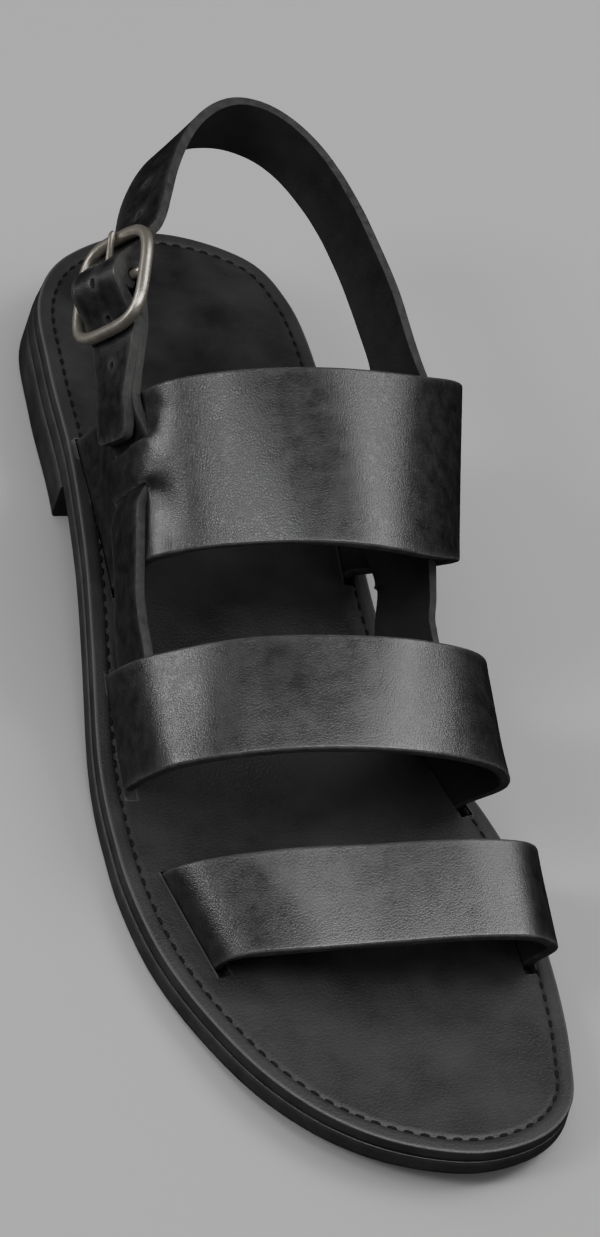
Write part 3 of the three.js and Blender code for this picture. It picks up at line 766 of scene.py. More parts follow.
def punch(mesh, holes):
    """Punches round holes: run, width and radius. The ring of corners round each goes onto a circle"""
    for run, width, radius in holes:
        middle = Vector((run, width, 0))
        near = min(mesh.verts, key=lambda v: (v.co - middle).length_squared)
        ring = {v for f in near.link_faces for v in f.verts} - {near}
        bmesh.ops.delete(mesh, geom=[near], context="VERTS")
        for vert in ring:
            vert.co = middle + (vert.co - middle).normalized() * radius


def bend_wall(mesh, place, outside, inside):
    """Gives a flat blank its two faces at two depths, bent to their place. Returns the inner faces"""
    made = bmesh.ops.extrude_face_region(mesh, geom=list(mesh.faces))["geom"]
    inner = set(of_kind(made, bmesh.types.BMVert))
    verts = list(mesh.verts)
    flats = flat_places(verts)
    depths = np.array([inside if v in inner else outside for v in verts])
    move(verts, place(flats[:, 0], flats[:, 1], depths))
    return of_kind(made, bmesh.types.BMFace)


def wall(mesh, place, thickness, edge_round=0.0005):
    """Bends a flat blank to its place, gives it its thickness and rounds its cut edges"""
    layer = mesh.verts.layers.float.new("rub")
    flat = mesh.loops.layers.uv.new("flat")
    rims = flat_places([v for v in mesh.verts if v.is_boundary])
    for vert, point in zip(mesh.verts, flat_places(mesh.verts)):
        gap = np.min(np.hypot(rims[:, 0] - point[0], rims[:, 1] - point[1]))
        vert[layer] = max(0.0, 1 - gap / WEAR_REACH)
    for face in mesh.faces:
        for loop in face.loops:
            loop[flat].uv = loop.vert.co.xy
    outer = list(mesh.faces)
    inner = bend_wall(mesh, place, 0.0, thickness)
    for faces, index in ((mesh.faces, SIDE_CUT), (outer, SIDE_OUTER), (inner, SIDE_INNER)):
        for face in faces:
            face.material_index = index
    bmesh.ops.recalc_face_normals(mesh, faces=mesh.faces)
    edges = [
        e for e in mesh.edges
        if len(e.link_faces) == 2 and (e.link_faces[0].material_index == SIDE_CUT)
        != (e.link_faces[1].material_index == SIDE_CUT)
    ]
    bevel = bmesh.ops.bevel(
        mesh, geom=edges, offset=edge_round, segments=3, profile=0.5, affect="EDGES", material=-1,
        clamp_overlap=True,
    )
    for face in bevel["faces"]:
        face.material_index = SIDE_CUT
    return mesh


def finish_piece(name, mesh, finishes, nodes):
    """A finished piece from its mesh: smooth, with its finishes, riding on the sandal"""
    for face in mesh.faces:
        face.smooth = True
    piece = new_object(name, mesh)
    for finish in finishes:
        piece.data.materials.append(bpy.data.materials[finish])
    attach(piece, "root")
    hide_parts(*nodes)
    return piece


def underneath(mesh, limit):
    """Gives the faces that look down their own finish"""
    for face in mesh.faces:
        face.material_index = 1 if face.normal.z < limit else 0


def soft_relief(s, w, rows):
    """Soft troughs and ridges of the leather"""
    total = np.zeros(len(s))
    for row in rows:
        crease = dict(zip(CREASE_COLUMNS, row))
        cosine, sine = (wave(math.radians(crease["turn"])) for wave in (math.cos, math.sin))
        ds, dw = s - crease["run"], w - crease["width"]
        along = (ds * cosine + dw * sine) / crease["length"]
        across = (dw * cosine - ds * sine) / crease["breadth"]
        total += crease["height"] * np.exp(-(along**2) - across**2)
    return total


def build_strap(last, key, node, creases, weaves=()):
    """One of the three straps over the foot, cut from a flat blank, with the slits of its weaves"""
    strap = last.straps[key]
    tab = last.sizes.footbed_thickness - TAB_CLEARANCE
    slits = [slit for weave in weaves for slit in weave.slit_lines()]
    forced_runs = [slit[k, 0] for slit in slits for k in (0, 2)]
    forced_widths = [slit[1, 1] + side * Weave.SLIT_HALF for slit in slits for side in (-1, 1)]
    runs = fitted(lines(0, strap.length, 0.0014), [0, strap.length, *forced_runs])
    runs = np.concatenate([[-tab], runs, [strap.length + tab]])
    widths = fitted(lines(0, strap.width, 0.0014, (0, 0.0009, 0.002, 0.0035)), forced_widths)
    mesh = cut_blank(runs, widths)
    half = Weave.SLIT_HALF
    cut_windows(mesh, [(s[0, 0], s[2, 0], s[1, 1] - half, s[1, 1] + half) for s in slits])
    skew_blank(mesh, strap, slits)

    def place(s, w, depth):
        raised = soft_relief(s, w, creases)
        for weave in weaves:
            raised = raised + weave.relief(strap.place(s, w))
        return strap.place(s, w, np.asarray(depth) - raised)

    wall(mesh, place, last.sizes.strap_thickness)
    finish_piece(key + "_strap_leather", mesh, STRAP_FINISHES, [node])


def skew_blank(mesh, strap, slits):
    """Turns the grid lines of a blank softly, so that each slit lies across the band that passes it"""
    fade = 0.012
    for side in (0, 1):
        near = [s for s in slits if (s[1, 0] > strap.length / 2) == bool(side)]
        near.sort(key=lambda s: s[1, 1])
        levels = [0, *[s[1, 1] for s in near], strap.width]
        for vert in mesh.verts:
            shifts = [0]
            for slit in near:
                runs = [slit[0, 0] - fade, slit[0, 0], slit[1, 0], slit[2, 0], slit[2, 0] + fade]
                moves = [0, slit[0, 1] - slit[1, 1], 0, slit[2, 1] - slit[1, 1], 0]
                shifts.append(np.interp(vert.co.x, runs, moves))
            vert.co.y += np.interp(vert.co.y, levels, [*shifts, 0])


def build_band(last, band, name, from_run, to_run, holes=(), square_end=0.0):
    """A narrow band cut from a flat blank, with the prong's window. Holes are run, width and radius"""
    half = last.sizes.band_width / 2
    room = last.sizes.prong_width / 2 + FIT_GAP
    window = (from_run, to_run, PRONG_SHIFT - room, PRONG_SHIFT + room)
    runs = fitted(lines(0, band.length, 0.00115), window[:2])
    widths = fitted(lines(-half, half, 0.0011, (0, 0.0008, 0.0018, 0.003)), window[2:])
    mesh = cut_blank(runs, widths)
    cut_windows(mesh, [window])
    punch(mesh, holes)
    if square_end:
        for vert in mesh.verts:
            back = square_end * (1 - (1 - min(1.0, abs(vert.co.y) / half) ** 7) ** 0.5)
            share = max(0.0, (vert.co.x - (band.length - 3 * square_end)) / (3 * square_end))
            vert.co.x -= back * share**1.5
    wall(mesh, woven(band, band.weaves), last.sizes.band_thickness, edge_round=0.00045)
    finish_piece(name, mesh, STRAP_FINISHES, ["upper"])


def sole_blank(last, profile, level, base, thickness, flares, columns=18):
    """A layer of the sole. profile goes from its top over its side to its underside: inset and height"""
    along_steps, trim, deep = 190, 0.12, 0.02
    mesh = bmesh.new()
    ring_layer = mesh.verts.layers.float.new("ring")
    inset_layer = mesh.verts.layers.float.new("inset")
    bmesh.ops.create_grid(mesh, x_segments=along_steps, y_segments=columns, size=0.5)
    # Stations close up towards both tips
    t = np.linspace(0, 1, along_steps + 1)
    stations = trim + (OUTLINE_SPANS - 2 * trim) * (0.72 * t + 0.28 * smooth(t, 0, 1))
    stations[[0, -1]] = (trim, OUTLINE_SPANS - trim)

    def spread(inset, over):
        return inset - (flares[0] + (flares[1] - flares[0]) * over / thickness)

    def stand(flat, over):
        return last.stand(flat[:, 0], flat[:, 1], level(flat[:, 1]) + base + over)

    first = list(mesh.verts)
    cells = {}
    for vert in first:
        i = round((vert.co.x + 0.5) * along_steps)
        j = round((vert.co.y + 0.5) * columns)
        cells[vert] = (i, j)
        share = j / columns
        if i in (0, along_steps):
            end = 0 if i == 0 else OUTLINE_SPANS
            vert[ring_layer] = end + (stations[i] - end) * (1 - 2 * share)
        else:
            vert[ring_layer] = stations[i] if j <= columns / 2 else 2 * OUTLINE_SPANS - stations[i]
        vert[inset_layer] = deep
    twin = bmesh.ops.duplicate(mesh, geom=mesh.verts[:] + mesh.edges[:] + mesh.faces[:])["geom"]
    second, second_faces = (of_kind(twin, kind) for kind in (bmesh.types.BMVert, bmesh.types.BMFace))
    second_faces = set(second_faces)
    by_place = {(round(v.co.x, 6), round(v.co.y, 6)): cells[v] for v in first}
    for verts, (inset, over) in ((first, profile[0]), (second, profile[-1])):
        where = [by_place[(round(v.co.x, 6), round(v.co.y, 6))] for v in verts]
        i = np.array([w[0] for w in where])
        share = np.array([w[1] for w in where]) / columns
        out = spread(inset, over)
        left, right = (last.edge(side * stations[i], out) for side in (1, -1))
        flat = left + (right - left) * share[:, None]
        ends = (i == 0) | (i == along_steps)
        rings = np.array([v[ring_layer] for v in verts])
        flat[ends] = last.edge(rings[ends], out)
        move(verts, stand(flat, over))
        for vert in verts:
            if vert.is_boundary:
                vert[inset_layer] = inset
    border = [e for e in mesh.edges if e.is_boundary and e.link_faces[0] not in second_faces]
    for inset, over in profile[1:]:
        made = bmesh.ops.extrude_edge_only(mesh, edges=border)["geom"]
        verts = of_kind(made, bmesh.types.BMVert)
        border = [e for e in of_kind(made, bmesh.types.BMEdge) if e.is_boundary]
        move(verts, stand(last.edge(np.array([v[ring_layer] for v in verts]), spread(inset, over)), over))
        for vert in verts:
            vert[inset_layer] = inset
    bmesh.ops.remove_doubles(mesh, verts=mesh.verts, dist=1e-6)
    bmesh.ops.recalc_face_normals(mesh, faces=mesh.faces)
    return mesh


def slot_cutter(last, key, end):
    """The cutter of one slot of the footbed: the strap's own wall with its fitting gap"""
    strap = last.straps[key]
    z = last.sizes
    depth, rise, ahead = z.footbed_thickness + 0.002, 0.003, 0.0025
    runs = (-depth, 0, rise) if end == 0 else (strap.length - rise, strap.length, strap.length + depth)
    widths = (-FIT_GAP, strap.width / 2, strap.width + FIT_GAP + ahead)
    mesh = cut_blank(runs, widths)
    bend_wall(mesh, strap.place, -FIT_GAP, z.strap_thickness + FIT_GAP)
    bmesh.ops.recalc_face_normals(mesh, faces=mesh.faces)
    return mesh


def cut_slots(last, piece):
    """Cuts the six slots of the straps into the footbed"""
    for key in last.straps:
        for end in (0, 1):
            tool = new_object("cutter", slot_cutter(last, key, end))
            cut = piece.modifiers.new("slot", "BOOLEAN")
            cut.operation, cut.solver, cut.object = "DIFFERENCE", "EXACT", tool
            bpy.context.view_layer.update()
            made = piece.evaluated_get(bpy.context.evaluated_depsgraph_get())
            spent = (piece.data, tool.data)
            piece.data = bpy.data.meshes.new_from_object(made)
            piece.modifiers.clear()
            bpy.data.objects.remove(tool)
            for data in spent:
                bpy.data.meshes.remove(data)
    piece.data.name = piece.name
    piece.data.set_sharp_from_angle(angle=math.radians(50))


def rolled(steps, place, closed=False):
    """A rod: a grid rolled up and closed. place takes shares along and angles round it"""
    mesh = bmesh.new()
    bmesh.ops.create_grid(mesh, x_segments=steps, y_segments=16, size=0.5)
    flats = flat_places(mesh.verts) + 0.5
    move(mesh.verts, place(flats[:, 0], flats[:, 1] * 2 * math.pi))
    bmesh.ops.remove_doubles(mesh, verts=mesh.verts, dist=1e-7)
    if not closed:
        bmesh.ops.holes_fill(mesh, edges=[e for e in mesh.edges if e.is_boundary], sides=0)
    bmesh.ops.recalc_face_normals(mesh, faces=mesh.faces)
    return mesh


# Finishes

class Mix:
    """A finish in the making: adds nodes to it and joins them"""

    def __init__(self, tree):
        self.tree = tree

    def add(self, kind, settings=None, **inputs):
        """A node with its settings; an input is a value or another node's output.

        Names use _ for a space, and i with a number means that input by its place.
        """
        node = self.tree.nodes.new("ShaderNode" + kind)
        for key, value in (settings or {}).items():
            setattr(node, key, value)
        for key, value in inputs.items():
            numbered = key[0] == "i" and key[1:].isdigit()
            self.give(value, node.inputs[int(key[1:]) if numbered else key.replace("_", " ")])
        return node

    def give(self, value, socket):
        """Sets an input to a value, or joins it to another node's output"""
        if isinstance(value, bpy.types.NodeSocket):
            self.tree.links.new(value, socket)
        else:
            socket.default_value = value

    def noise(self, where, scale, detail, **more):
        """Noise of a scale per metre"""
        return self.add("TexNoise", Vector=where, Scale=scale, Detail=detail, **more).outputs["Fac"]

    def bump(self, strength, depth, height):
        """A normal from a height"""
        return self.add("Bump", Strength=strength, Distance=depth, Height=height).outputs[0]

    def scaled(self, value, low, high, out_low, out_high):
        """A value carried from one range to another, held at its ends"""
        names = ("From Min", "From Max", "To Min", "To Max")
        node = self.add("MapRange", Value=value)
        for name, number in zip(names, (low, high, out_low, out_high)):
            node.inputs[name].default_value = number
        return node.outputs[0]

    def sum(self, kind, a, b):
        """A sum, product or power of two values"""
        return self.add("Math", {"operation": kind}, i0=a, i1=b).outputs[0]

    def blend(self, share, a, b):
        """One colour over another by a share"""
        return self.add("Mix", {"data_type": "RGBA"}, i0=share, i6=a, i7=b).outputs[2]


def new_group(name, inputs, outputs):
    """An empty node group with its named inputs and outputs"""
    group = bpy.data.node_groups.new(name, "ShaderNodeTree")
    kind = "NodeSocketFloat"
    for label, value in inputs:
        group.interface.new_socket(name=label, in_out="INPUT", socket_type=kind).default_value = value
    for label in outputs:
        group.interface.new_socket(name=label, in_out="OUTPUT", socket_type=kind)
    mix = Mix(group)
    return group, mix, group.nodes.new("NodeGroupInput"), group.nodes.new("NodeGroupOutput")


def make_grain_group():
    """Leather's grain: fine pores and creases as a height, and broad uneven dye as a mottle"""
    inputs = (("Pores per metre", 1100.0), ("Blotches per metre", 90.0))
    group, mix, given, out = new_group("Leather grain", inputs, ("Height", "Mottle", "Fine"))
    where = mix.add("TexCoord").outputs["Object"]
    bent = mix.add("TexNoise", Vector=where, Scale=420.0, Detail=2.0).outputs["Color"]
    soft = mix.add("VectorMath", {"operation": "SCALE"}, i0=bent, Scale=0.0006).outputs[0]
    moved = mix.add("VectorMath", {"operation": "ADD"}, i0=where, i1=soft).outputs[0]
    edge = {"feature": "DISTANCE_TO_EDGE"}
    pores = mix.add("TexVoronoi", edge, Vector=moved, Scale=given.outputs[0]).outputs[0]
    pebble = mix.scaled(pores, 0.0, 0.22, 0.0, 1.0)
    fine = mix.noise(where, 1200.0, 4.0, Roughness=0.7)
    blotch = mix.scaled(mix.noise(where, given.outputs[1], 6.0, Roughness=0.62), 0.3, 0.72, 0.0, 1.0)
    height = mix.sum("ADD", mix.sum("MULTIPLY", pebble, 0.6), mix.sum("MULTIPLY", fine, 0.7))
    for name, value in (("Height", height), ("Mottle", blotch), ("Fine", fine)):
        group.links.new(value, out.inputs[name])


def make_rub_group():
    """Wear along the edges: the piece's own rub value, broken up"""
    group, mix, given, out = new_group("Edge rub", (("Amount", 1.0),), ("Rub",))
    rub = mix.add("Attribute", {"attribute_name": "rub"}).outputs["Fac"]
    where = mix.add("TexCoord").outputs["Object"]
    broken = mix.scaled(mix.noise(where, 700.0, 4.0), 0.3, 0.7, 0.35, 1.0)
    worn = mix.sum("MULTIPLY", mix.sum("POWER", rub, 2.2), broken)
    group.links.new(mix.sum("MULTIPLY", worn, given.outputs[0]), out.inputs["Rub"])


def start_finish(name):
    """A new finish with its mixer and its shader"""
    material = bpy.data.materials.new(name)
    material.use_nodes = True
    material.node_tree.nodes.clear()
    mix = Mix(material.node_tree)
    shader = mix.add("BsdfPrincipled")
    output = mix.add("OutputMaterial")
    mix.give(shader.outputs[0], output.inputs[0])
    return material, mix, shader


def tint(colour, factor):
    """A colour made lighter or darker, with its alpha"""
    return (*[min(1.0, c * factor) for c in colour], 1.0)


# The leathers: pores and blotches per metre, the roughness of their dark and their pale dye, how far the
# dye varies, and how worn their edges are
LEATHER_COLUMNS = (
    "name", "colour", "pores", "blotches", "bump", "smooth", "rough", "contrast", "specular", "rub",
)
LEATHERS = (
    ("strap grain", "strap_leather", 1500, 260, 0.2, 0.31, 0.4, 0.5, 0.54, 0.7),
    ("strap flesh side", "flesh_side", 2600, 160, 0.6, 0.75, 0.9, 0.35, 0.25, 0),
    ("strap cut edge", "cut_edge", 3200, 400, 0.7, 0.6, 0.75, 0.5, 0.35, 0),
    ("sole side", "sole_side", 1700, 120, 0.2, 0.42, 0.55, 0.25, 0.45, 0),
    ("sole underside", "sole_side", 900, 60, 0.4, 0.6, 0.75, 0.35, 0.35, 0),
    ("footbed leather", "footbed", 1000, 60, 0.35, 0.5, 0.68, 0.45, 0.28, 0),
)


def leather_finish(colours, row):
    """Dyed leather with pores, uneven dye, and rubbed edges where the piece has them"""
    kind = dict(zip(LEATHER_COLUMNS, row))
    material, mix, shader = start_finish(kind["name"])
    grain = mix.add(
        "Group", {"node_tree": bpy.data.node_groups["Leather grain"]}, i0=kind["pores"], i1=kind["blotches"]
    )
    height, mottle, fine = (grain.outputs[n] for n in ("Height", "Mottle", "Fine"))
    colour, contrast = getattr(colours, kind["colour"]), kind["contrast"]
    shade = mix.blend(mottle, tint(colour, 1 - contrast), tint(colour, 1 + contrast))
    if kind["rub"]:
        worn = mix.add("Group", {"node_tree": bpy.data.node_groups["Edge rub"]}, i0=kind["rub"])
        shade = mix.blend(worn.outputs[0], shade, tint(colours.cut_edge, 2.0))
    rough = mix.scaled(mottle, 0, 1, kind["smooth"], kind["rough"])
    mix.give(shade, shader.inputs["Base Color"])
    mix.give(mix.sum("ADD", rough, mix.scaled(fine, 0.3, 0.7, -0.035, 0.035)), shader.inputs["Roughness"])
    mix.give(mix.bump(kind["bump"], 0.0002, height), shader.inputs["Normal"])
    shader.inputs["Specular IOR Level"].default_value = kind["specular"]
    return mix, shader


def make_finishes(colours):
    """Every finish of the sandal; the floor's own finish is mixed when the floor is laid"""
    make_grain_group()
    make_rub_group()
    for row in LEATHERS:
        mix, shader = leather_finish(colours, row)
    burnish_footbed(colours, mix, shader.inputs["Base Color"])
    thread_finish(colours)
    brass_finish(colours)


def burnish_footbed(colours, mix, socket):
    """The footbed's paler margin, its groove, and the burnished line on its rim"""
    inset = mix.add("Attribute", {"attribute_name": "inset"}).outputs["Fac"]
    margin = mix.scaled(inset, 0.0034, 0.004, 1.0, 0.0)
    line = mix.scaled(inset, 0.0001, 0.0008, 1.0, 0.0)
    walls = (mix.scaled(inset, *span) for span in ((0.0031, 0.0036, 0.0, 1.0), (0.0042, 0.0048, 1.0, 0.0)))
    groove = mix.sum("MULTIPLY", *walls)
    shade = socket.links[0].from_socket
    for mask, share, colour, factor in (
        (margin, 0.5, colours.footbed, 1.6),
        (groove, 0.6, colours.footbed, 1.3),
        (line, 0.8, colours.cut_edge, 2.4),
    ):
        shade = mix.blend(mix.sum("MULTIPLY", mask, share), shade, tint(colour, factor))
    mix.give(shade, socket)


def thread_finish(colours):
    """Waxed thread with its twist"""
    material, mix, shader = start_finish("waxed thread")
    where = mix.add("TexCoord").outputs["Object"]
    twist = mix.add("TexWave", Vector=where, Scale=900.0, Distortion=3.0).outputs["Fac"]
    shade = mix.blend(twist, tint(colours.thread, 0.6), tint(colours.thread, 1.8))
    mix.give(shade, shader.inputs["Base Color"])
    mix.give(mix.scaled(twist, 0, 1, 0.75, 0.9), shader.inputs["Roughness"])
    mix.give(mix.bump(0.5, 0.0001, twist), shader.inputs["Normal"])
    shader.inputs["Specular IOR Level"].default_value = 0.15


def brass_finish(colours):
    """Aged brass: dull and brown in places, rubbed bright in others, with fine scratches"""
    material, mix, shader = start_finish("aged brass")
    where = mix.add("TexCoord").outputs["Object"]
    cloud = mix.scaled(mix.noise(where, 260.0, 5.0), 0.35, 0.65, 0.0, 1.0)
    stretched = mix.add("Mapping", Vector=where, Scale=(400, 3000, 900)).outputs[0]
    scratch = mix.noise(stretched, 1.0, 3.0)
    shade = mix.blend(cloud, tint(colours.buckle, 0.72), tint(colours.buckle, 1.12))
    dull, marks = mix.scaled(cloud, 0, 1, 0.4, 0.27), mix.scaled(scratch, 0.3, 0.7, -0.04, 0.06)
    mix.give(shade, shader.inputs["Base Color"])
    mix.give(mix.sum("ADD", dull, marks), shader.inputs["Roughness"])
    mix.give(mix.bump(0.25, 0.0001, scratch), shader.inputs["Normal"])
    shader.inputs["Metallic"].default_value = 0.72


# Operators

class SANDAL_OT_finishes(bpy.types.Operator):
    """Mixes the leather, thread and brass finishes"""

    bl_idname = "sandal.finishes"
    bl_label = "Finishes"

    def execute(self, context):
        make_finishes(context.scene.sandal_colours)
        return {"FINISHED"}


class SANDAL_OT_sole(bpy.types.Operator):
    """Cuts the outsole and the heel"""

    bl_idname = "sandal.sole"
    bl_label = "Outsole and heel"

    def execute(self, context):
        last = Last(context.scene.sandal_sizes)
        z = last.sizes
        thick = z.outsole_thickness
        side = [(0.008, thick), (0.0003, thick), (0.0001, thick - 0.00004), (0, thick - 0.00015),
                (0, thick * 0.62), (0, thick * 0.3), (0, 0.0006), (0.0002, 0.00018), (0.0006, 0), (0.008, 0)]
        mesh = sole_blank(last, side, last.underside, 0, thick, (z.sole_flare, OUTSOLE_TOP_FLARE))
        underneath(mesh, -0.8)
        finish_piece("outsole_layer", mesh, ("sole side", "sole underside"), ["outsole"])
        tall = z.heel_height - z.layer_gap
        side = [(0.006, tall), (0.0003, tall), (0, tall - 0.0003), (0, tall * 0.7), (0, tall * 0.4),
                (0, 0.0008), (0.00025, 0.00025), (0.0008, 0), (0.006, 0)]
        mesh = sole_blank(last, side, np.zeros_like, 0, tall, (z.heel_flare, z.sole_flare), columns=8)
        breast = z.sole_length / 2 - z.heel_length + BOX_MIDDLE[1]
        cut = bmesh.ops.bisect_plane(
            mesh, geom=mesh.verts[:] + mesh.edges[:] + mesh.faces[:], dist=1e-7,
            plane_co=(0, breast, 0), plane_no=(0, -1, 0), clear_outer=True,
        )["geom_cut"]
        bmesh.ops.contextual_create(mesh, geom=of_kind(cut, bmesh.types.BMEdge))
        bmesh.ops.recalc_face_normals(mesh, faces=mesh.faces)
        underneath(mesh, -0.8)
        heel = finish_piece("heel_block", mesh, ("sole side", "sole underside"), ["heel"])
        heel.data.set_sharp_from_angle(angle=math.radians(50))
        return {"FINISHED"}


class SANDAL_OT_footbed(bpy.types.Operator):
    """Cuts the footbed with its stitch groove and slots, and sews it"""

    bl_idname = "sandal.footbed"
    bl_label = "Footbed and stitches"

    def execute(self, context):
        last = Last(context.scene.sandal_sizes)
        z = last.sizes
        thick, groove = z.footbed_thickness, z.groove_inset
        side = [(groove + 0.0016, thick), (groove + 0.0007, thick), (groove + 0.0004, thick - 0.0002),
                (groove, thick - 0.00045), (groove - 0.0004, thick - 0.0002), (groove - 0.0007, thick),
                (0.0022, thick + 0.00004), (0.0007, thick), (0.00025, thick - 0.00008),
                (0.00006, thick - 0.00027), (0, thick - 0.0006), (0, 0.0008), (0, 0.00015), (0.00015, 0),
                (groove + 0.0016, 0)]
        mesh = sole_blank(last, side, last.underside, last.footbed_base(), thick, (FOOTBED_FLARE, 0.0))
        underneath(mesh, 0.3)
        finishes = ("footbed leather", "sole side")
        piece = finish_piece("footbed_leather", mesh, finishes, ["footbed"])
        cut_slots(last, piece)
        self.sew(last, thick)
        return {"FINISHED"}

    def sew(self, last, thick):
        """A row of short stitches lying in the groove"""
        z = last.sizes
        rings = np.linspace(-OUTLINE_SPANS, OUTLINE_SPANS, 1801)
        flat = last.edge(rings, z.groove_inset)
        run = np.concatenate([[0], np.cumsum(np.hypot(*np.diff(flat, axis=0).T))])
        count = int(run[-1] / z.stitch_pitch)
        mesh = bmesh.new()
        for k in range(count):
            at = (k + 0.5) / count * run[-1]
            ahead, here = (np.interp(at + step, run, rings) for step in (0.0005, 0))
            a, b = last.edge([here], z.groove_inset), last.edge([ahead], z.groove_inset)
            top = last.footbed_base() + thick - 0.00028
            p, q = (last.stand(e[:, 0], e[:, 1], last.underside(e[:, 1]) + top)[0] for e in (a, b))
            way = Vector(q - p).normalized()
            side = Vector((0, 0, 1)).cross(way).normalized()
            turn = Matrix((way, side, way.cross(side))).transposed().to_4x4()
            size = Matrix.Diagonal((0.00115, 0.00045, 0.0004, 1))
            bmesh.ops.create_uvsphere(
                mesh, u_segments=8, v_segments=5, radius=1, matrix=Matrix.Translation(p) @ turn @ size
            )
        finish_piece("stitches", mesh, ("waxed thread",), ["footbed"])


class SANDAL_OT_straps(bpy.types.Operator):
    """Cuts and bends the toe strap, the middle strap and the instep strap"""

    bl_idname = "sandal.straps"
    bl_label = "Straps"

    def execute(self, context):
        last = Last(context.scene.sandal_sizes)
        weaves = [last.chape().weaves[0], last.slingback().weaves[0]]
        build_strap(last, "toe", "toe_strap", TOE_CREASES)
        build_strap(last, "middle", "upper", MIDDLE_CREASES)
        build_strap(last, "instep", "upper", INSTEP_CREASES, weaves)
        return {"FINISHED"}


class SANDAL_OT_bands(bpy.types.Operator):
    """Cuts, punches and weaves the slingback and the chape"""

    bl_idname = "sandal.bands"
    bl_label = "Slingback and chape"

    def execute(self, context):
        last = Last(context.scene.sandal_sizes)
        sling, chape = last.slingback(), last.chape()
        at, holes = sling.bar_run, [(run, 0, PUNCH) for run in HOLE_RUNS]
        build_band(last, sling, "slingback_leather", at - 0.0075, at - 0.0025, holes, square_end=0.003)
        at = chape.wrap_run
        build_band(last, chape, "chape_leather", at - 0.0035, at + 0.0105)
        return {"FINISHED"}


class SANDAL_OT_buckle(bpy.types.Operator):
    """Bends the buckle's frame and bar, and its prong"""

    bl_idname = "sandal.buckle"
    bl_label = "Buckle"

    def execute(self, context):
        last = Last(context.scene.sandal_sizes)
        z = last.sizes
        turns = np.linspace(0, 2 * math.pi, 41)[:-1]
        across, along = squared(turns, 2 / FRAME_SQUARENESS)
        ring = (across * last.side_reach, along * last.rail_reach, 0 * along)
        loop = Curve(np.stack(ring, axis=1), closed=True)
        radius = z.frame_wire / 2

        def frame_place(share, turn):
            centre, way = loop.at(share), loop.tangent(share)
            wide, high = (part * radius * 0.96 for part in squared(turn, WIRE_SQUARENESS))
            side = np.stack([way[:, 1], -way[:, 0]], axis=1) * wide[:, None]
            return last.in_buckle(centre[:, 0] + side[:, 0], centre[:, 1] + side[:, 1], high)

        mesh = rolled(160, frame_place, closed=True)
        finish_piece("buckle_loop", mesh, ("aged brass",), ["buckle_frame"])
        reach, bar = last.side_reach, z.bar_wire / 2

        def bar_place(share, turn):
            return last.in_buckle((share * 2 - 1) * reach, bar * np.cos(turn), bar * np.sin(turn))

        mesh = rolled(12, bar_place)
        finish_piece("buckle_bar", mesh, ("aged brass",), ["buckle_frame"])
        self.bend_prong(last)
        return {"FINISHED"}

    def bend_prong(self, last):
        """One strip: rolled round the bar, then straight to its tip on the frame's rail"""
        z = last.sizes
        thick = z.prong_thickness
        middle = last.bore + thick / 2
        rest = z.frame_wire / 2 + FIT_GAP + thick / 2
        path = [(middle * math.cos(t), middle * math.sin(t)) for t in np.radians(np.arange(-215, 91, 25.0))]
        rail = last.rail_reach
        path += [(rail * part, middle + (rest - middle) * part**2) for part in (0.25, 0.5, 0.75, 0.92)]
        path += [(rail * 1.02, rest - thick * 0.1), (rail * 1.06, rest - thick * 0.15)]
        line = Curve([(0, along, out) for along, out in path])

        def place(share, turn):
            centre, way = line.at(share), line.tangent(share)
            taper = 1 - 0.35 * smooth(share, 0.6, 0.95) - 0.35 * smooth(share, 0.95, 1.0)
            wide, high = squared(turn, WIRE_SQUARENESS)
            wide = wide * z.prong_width / 2 * taper
            high = high * thick / 2 * (1 - 0.5 * smooth(share, 0.9, 1.0))
            along, out = centre[:, 1] - way[:, 2] * high, centre[:, 2] + way[:, 1] * high
            return last.in_buckle(PRONG_SHIFT + wide, along, out)

        mesh = rolled(90, place)
        finish_piece("buckle_tongue", mesh, ("aged brass",), ["buckle_prong"])


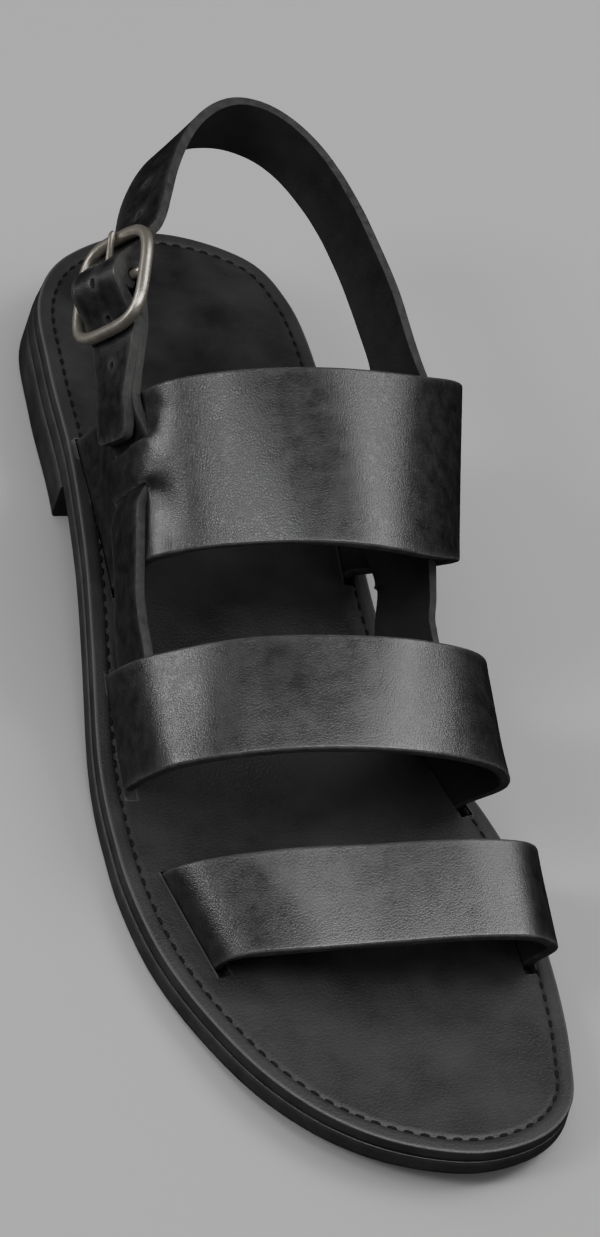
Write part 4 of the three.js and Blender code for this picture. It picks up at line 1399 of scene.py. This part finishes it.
class SANDAL_OT_stage(bpy.types.Operator):
    """Lays the floor, hangs the lamps and sets the camera"""

    bl_idname = "sandal.stage"
    bl_label = "Floor, lights and camera"

    def execute(self, context):
        self.lay_floor(context)
        self.hang_lamps(context)
        self.set_camera(context)
        return {"FINISHED"}

    def lay_floor(self, context):
        """A wide sheet of plain paper"""
        mesh = bmesh.new()
        bmesh.ops.create_grid(mesh, x_segments=8, y_segments=8, size=6)
        floor = new_object("floor", mesh)
        material, mix, shader = start_finish("paper floor")
        fleck = mix.noise(mix.add("TexCoord").outputs["Object"], 60.0, 3.0)
        colour = context.scene.sandal_colours.floor
        mix.give(mix.blend(fleck, tint(colour, 0.995), tint(colour, 1.005)), shader.inputs["Base Color"])
        shader.inputs["Roughness"].default_value = 0.95
        shader.inputs["Specular IOR Level"].default_value = 0.0
        floor.data.materials.append(material)
        floor.visible_glossy = False

    def hang_lamps(self, context):
        """Soft boxes round the sandal, and a pale surround"""
        lamps = (
            # name, place, aim, size, watts, seen in the leather's shine, lights the rest
            ("low left box", (-0.85, 0.45, 0.08), (0, 0, 0.04), (0.3, 0.3), 3.6, True, True),
            ("left box", (-0.85, -0.14, 0.7), (0, 0, 0.06), (0.26, 0.36), 4.7, True, True),
            ("right box", (0.62, 0.05, 0.82), (0.02, 0, 0.05), (0.4, 0.42), 4.4, True, True),
            ("toe box", (0.03, -0.21, 0.34), (0.03, -0.21, 0), (0.42, 0.22), 2.9, True, False),
            ("fill box", (0.2, 0.5, 1.9), (0, 0, 0), (2.2, 2.2), 18.0, False, True),
        )
        for name, place, aim, size, watts, shines, lights in lamps:
            data = bpy.data.lights.new(name, "AREA")
            data.shape, data.size, data.size_y, data.energy = "RECTANGLE", size[0], size[1], watts
            lamp = bpy.data.objects.new(name, data)
            lamp.location = place
            lamp.rotation_mode = "QUATERNION"
            lamp.rotation_quaternion = (Vector(aim) - Vector(place)).to_track_quat("-Z", "Y")
            lamp.visible_camera = False
            lamp.visible_glossy, lamp.visible_diffuse = shines, lights
            context.scene.collection.objects.link(lamp)
        world = bpy.data.worlds.new("studio")
        world.use_nodes = True
        background = world.node_tree.nodes["Background"]
        background.inputs["Color"].default_value = (1, 1, 1, 1)
        background.inputs["Strength"].default_value = 0.42
        world.cycles_visibility.glossy = False
        context.scene.world = world

    def set_camera(self, context):
        """The photograph's angle: from the toe's lateral side, 45 degrees up, rolled"""
        turn, rise, roll = (math.radians(d) for d in (-31.526, 45.0, 22.08))
        target = Vector((0.008969, 0.009762, 0.015)) + Vector(BOX_MIDDLE)
        back = Vector((math.sin(turn) * math.cos(rise), -math.cos(turn) * math.cos(rise), math.sin(rise)))
        level = Vector((0, 0, 1)).cross(back).normalized()
        upward = back.cross(level)
        right = level * math.cos(roll) + upward * math.sin(roll)
        up = upward * math.cos(roll) - level * math.sin(roll)
        data = bpy.data.cameras.new("photograph")
        data.lens, data.sensor_width, data.sensor_fit = 101.95, 36, "AUTO"
        data.clip_start, data.clip_end = 0.05, 30
        camera = bpy.data.objects.new("photograph", data)
        camera.rotation_mode = "QUATERNION"
        camera.rotation_quaternion = Matrix((right, up, back)).transposed().to_quaternion()
        camera.location = target + back * 0.85162
        context.scene.collection.objects.link(camera)
        context.scene.camera = camera


class SANDAL_PT_panel(bpy.types.Panel):
    """Lists the sandal's pieces, sizes and colours"""

    bl_label = "Strappy sandal"
    bl_idname = "SANDAL_PT_panel"
    bl_space_type = "VIEW_3D"
    bl_region_type = "UI"
    bl_category = "Sandal"

    def draw(self, context):
        for operator in OPERATORS:
            self.layout.operator(operator.bl_idname)
        for group in (context.scene.sandal_sizes, context.scene.sandal_colours):
            box = self.layout.box()
            for name in group.__annotations__:
                box.prop(group, name)


OPERATORS = (
    SANDAL_OT_finishes,
    SANDAL_OT_sole,
    SANDAL_OT_footbed,
    SANDAL_OT_straps,
    SANDAL_OT_bands,
    SANDAL_OT_buckle,
    SANDAL_OT_stage,
)
CLASSES = (SandalSizes, SandalColours, *OPERATORS, SANDAL_PT_panel)


def register():
    for item in CLASSES:
        bpy.utils.register_class(item)
    bpy.types.Scene.sandal_sizes = bpy.props.PointerProperty(type=SandalSizes)
    bpy.types.Scene.sandal_colours = bpy.props.PointerProperty(type=SandalColours)


def unregister():
    del bpy.types.Scene.sandal_colours
    del bpy.types.Scene.sandal_sizes
    for item in reversed(CLASSES):
        bpy.utils.unregister_class(item)


def main():
    register()
    bpy.ops.sandal.finishes()
    bpy.ops.sandal.sole()
    bpy.ops.sandal.footbed()
    bpy.ops.sandal.straps()
    bpy.ops.sandal.bands()
    bpy.ops.sandal.buckle()
    bpy.ops.sandal.stage()


if __name__ == "__main__":
    main()
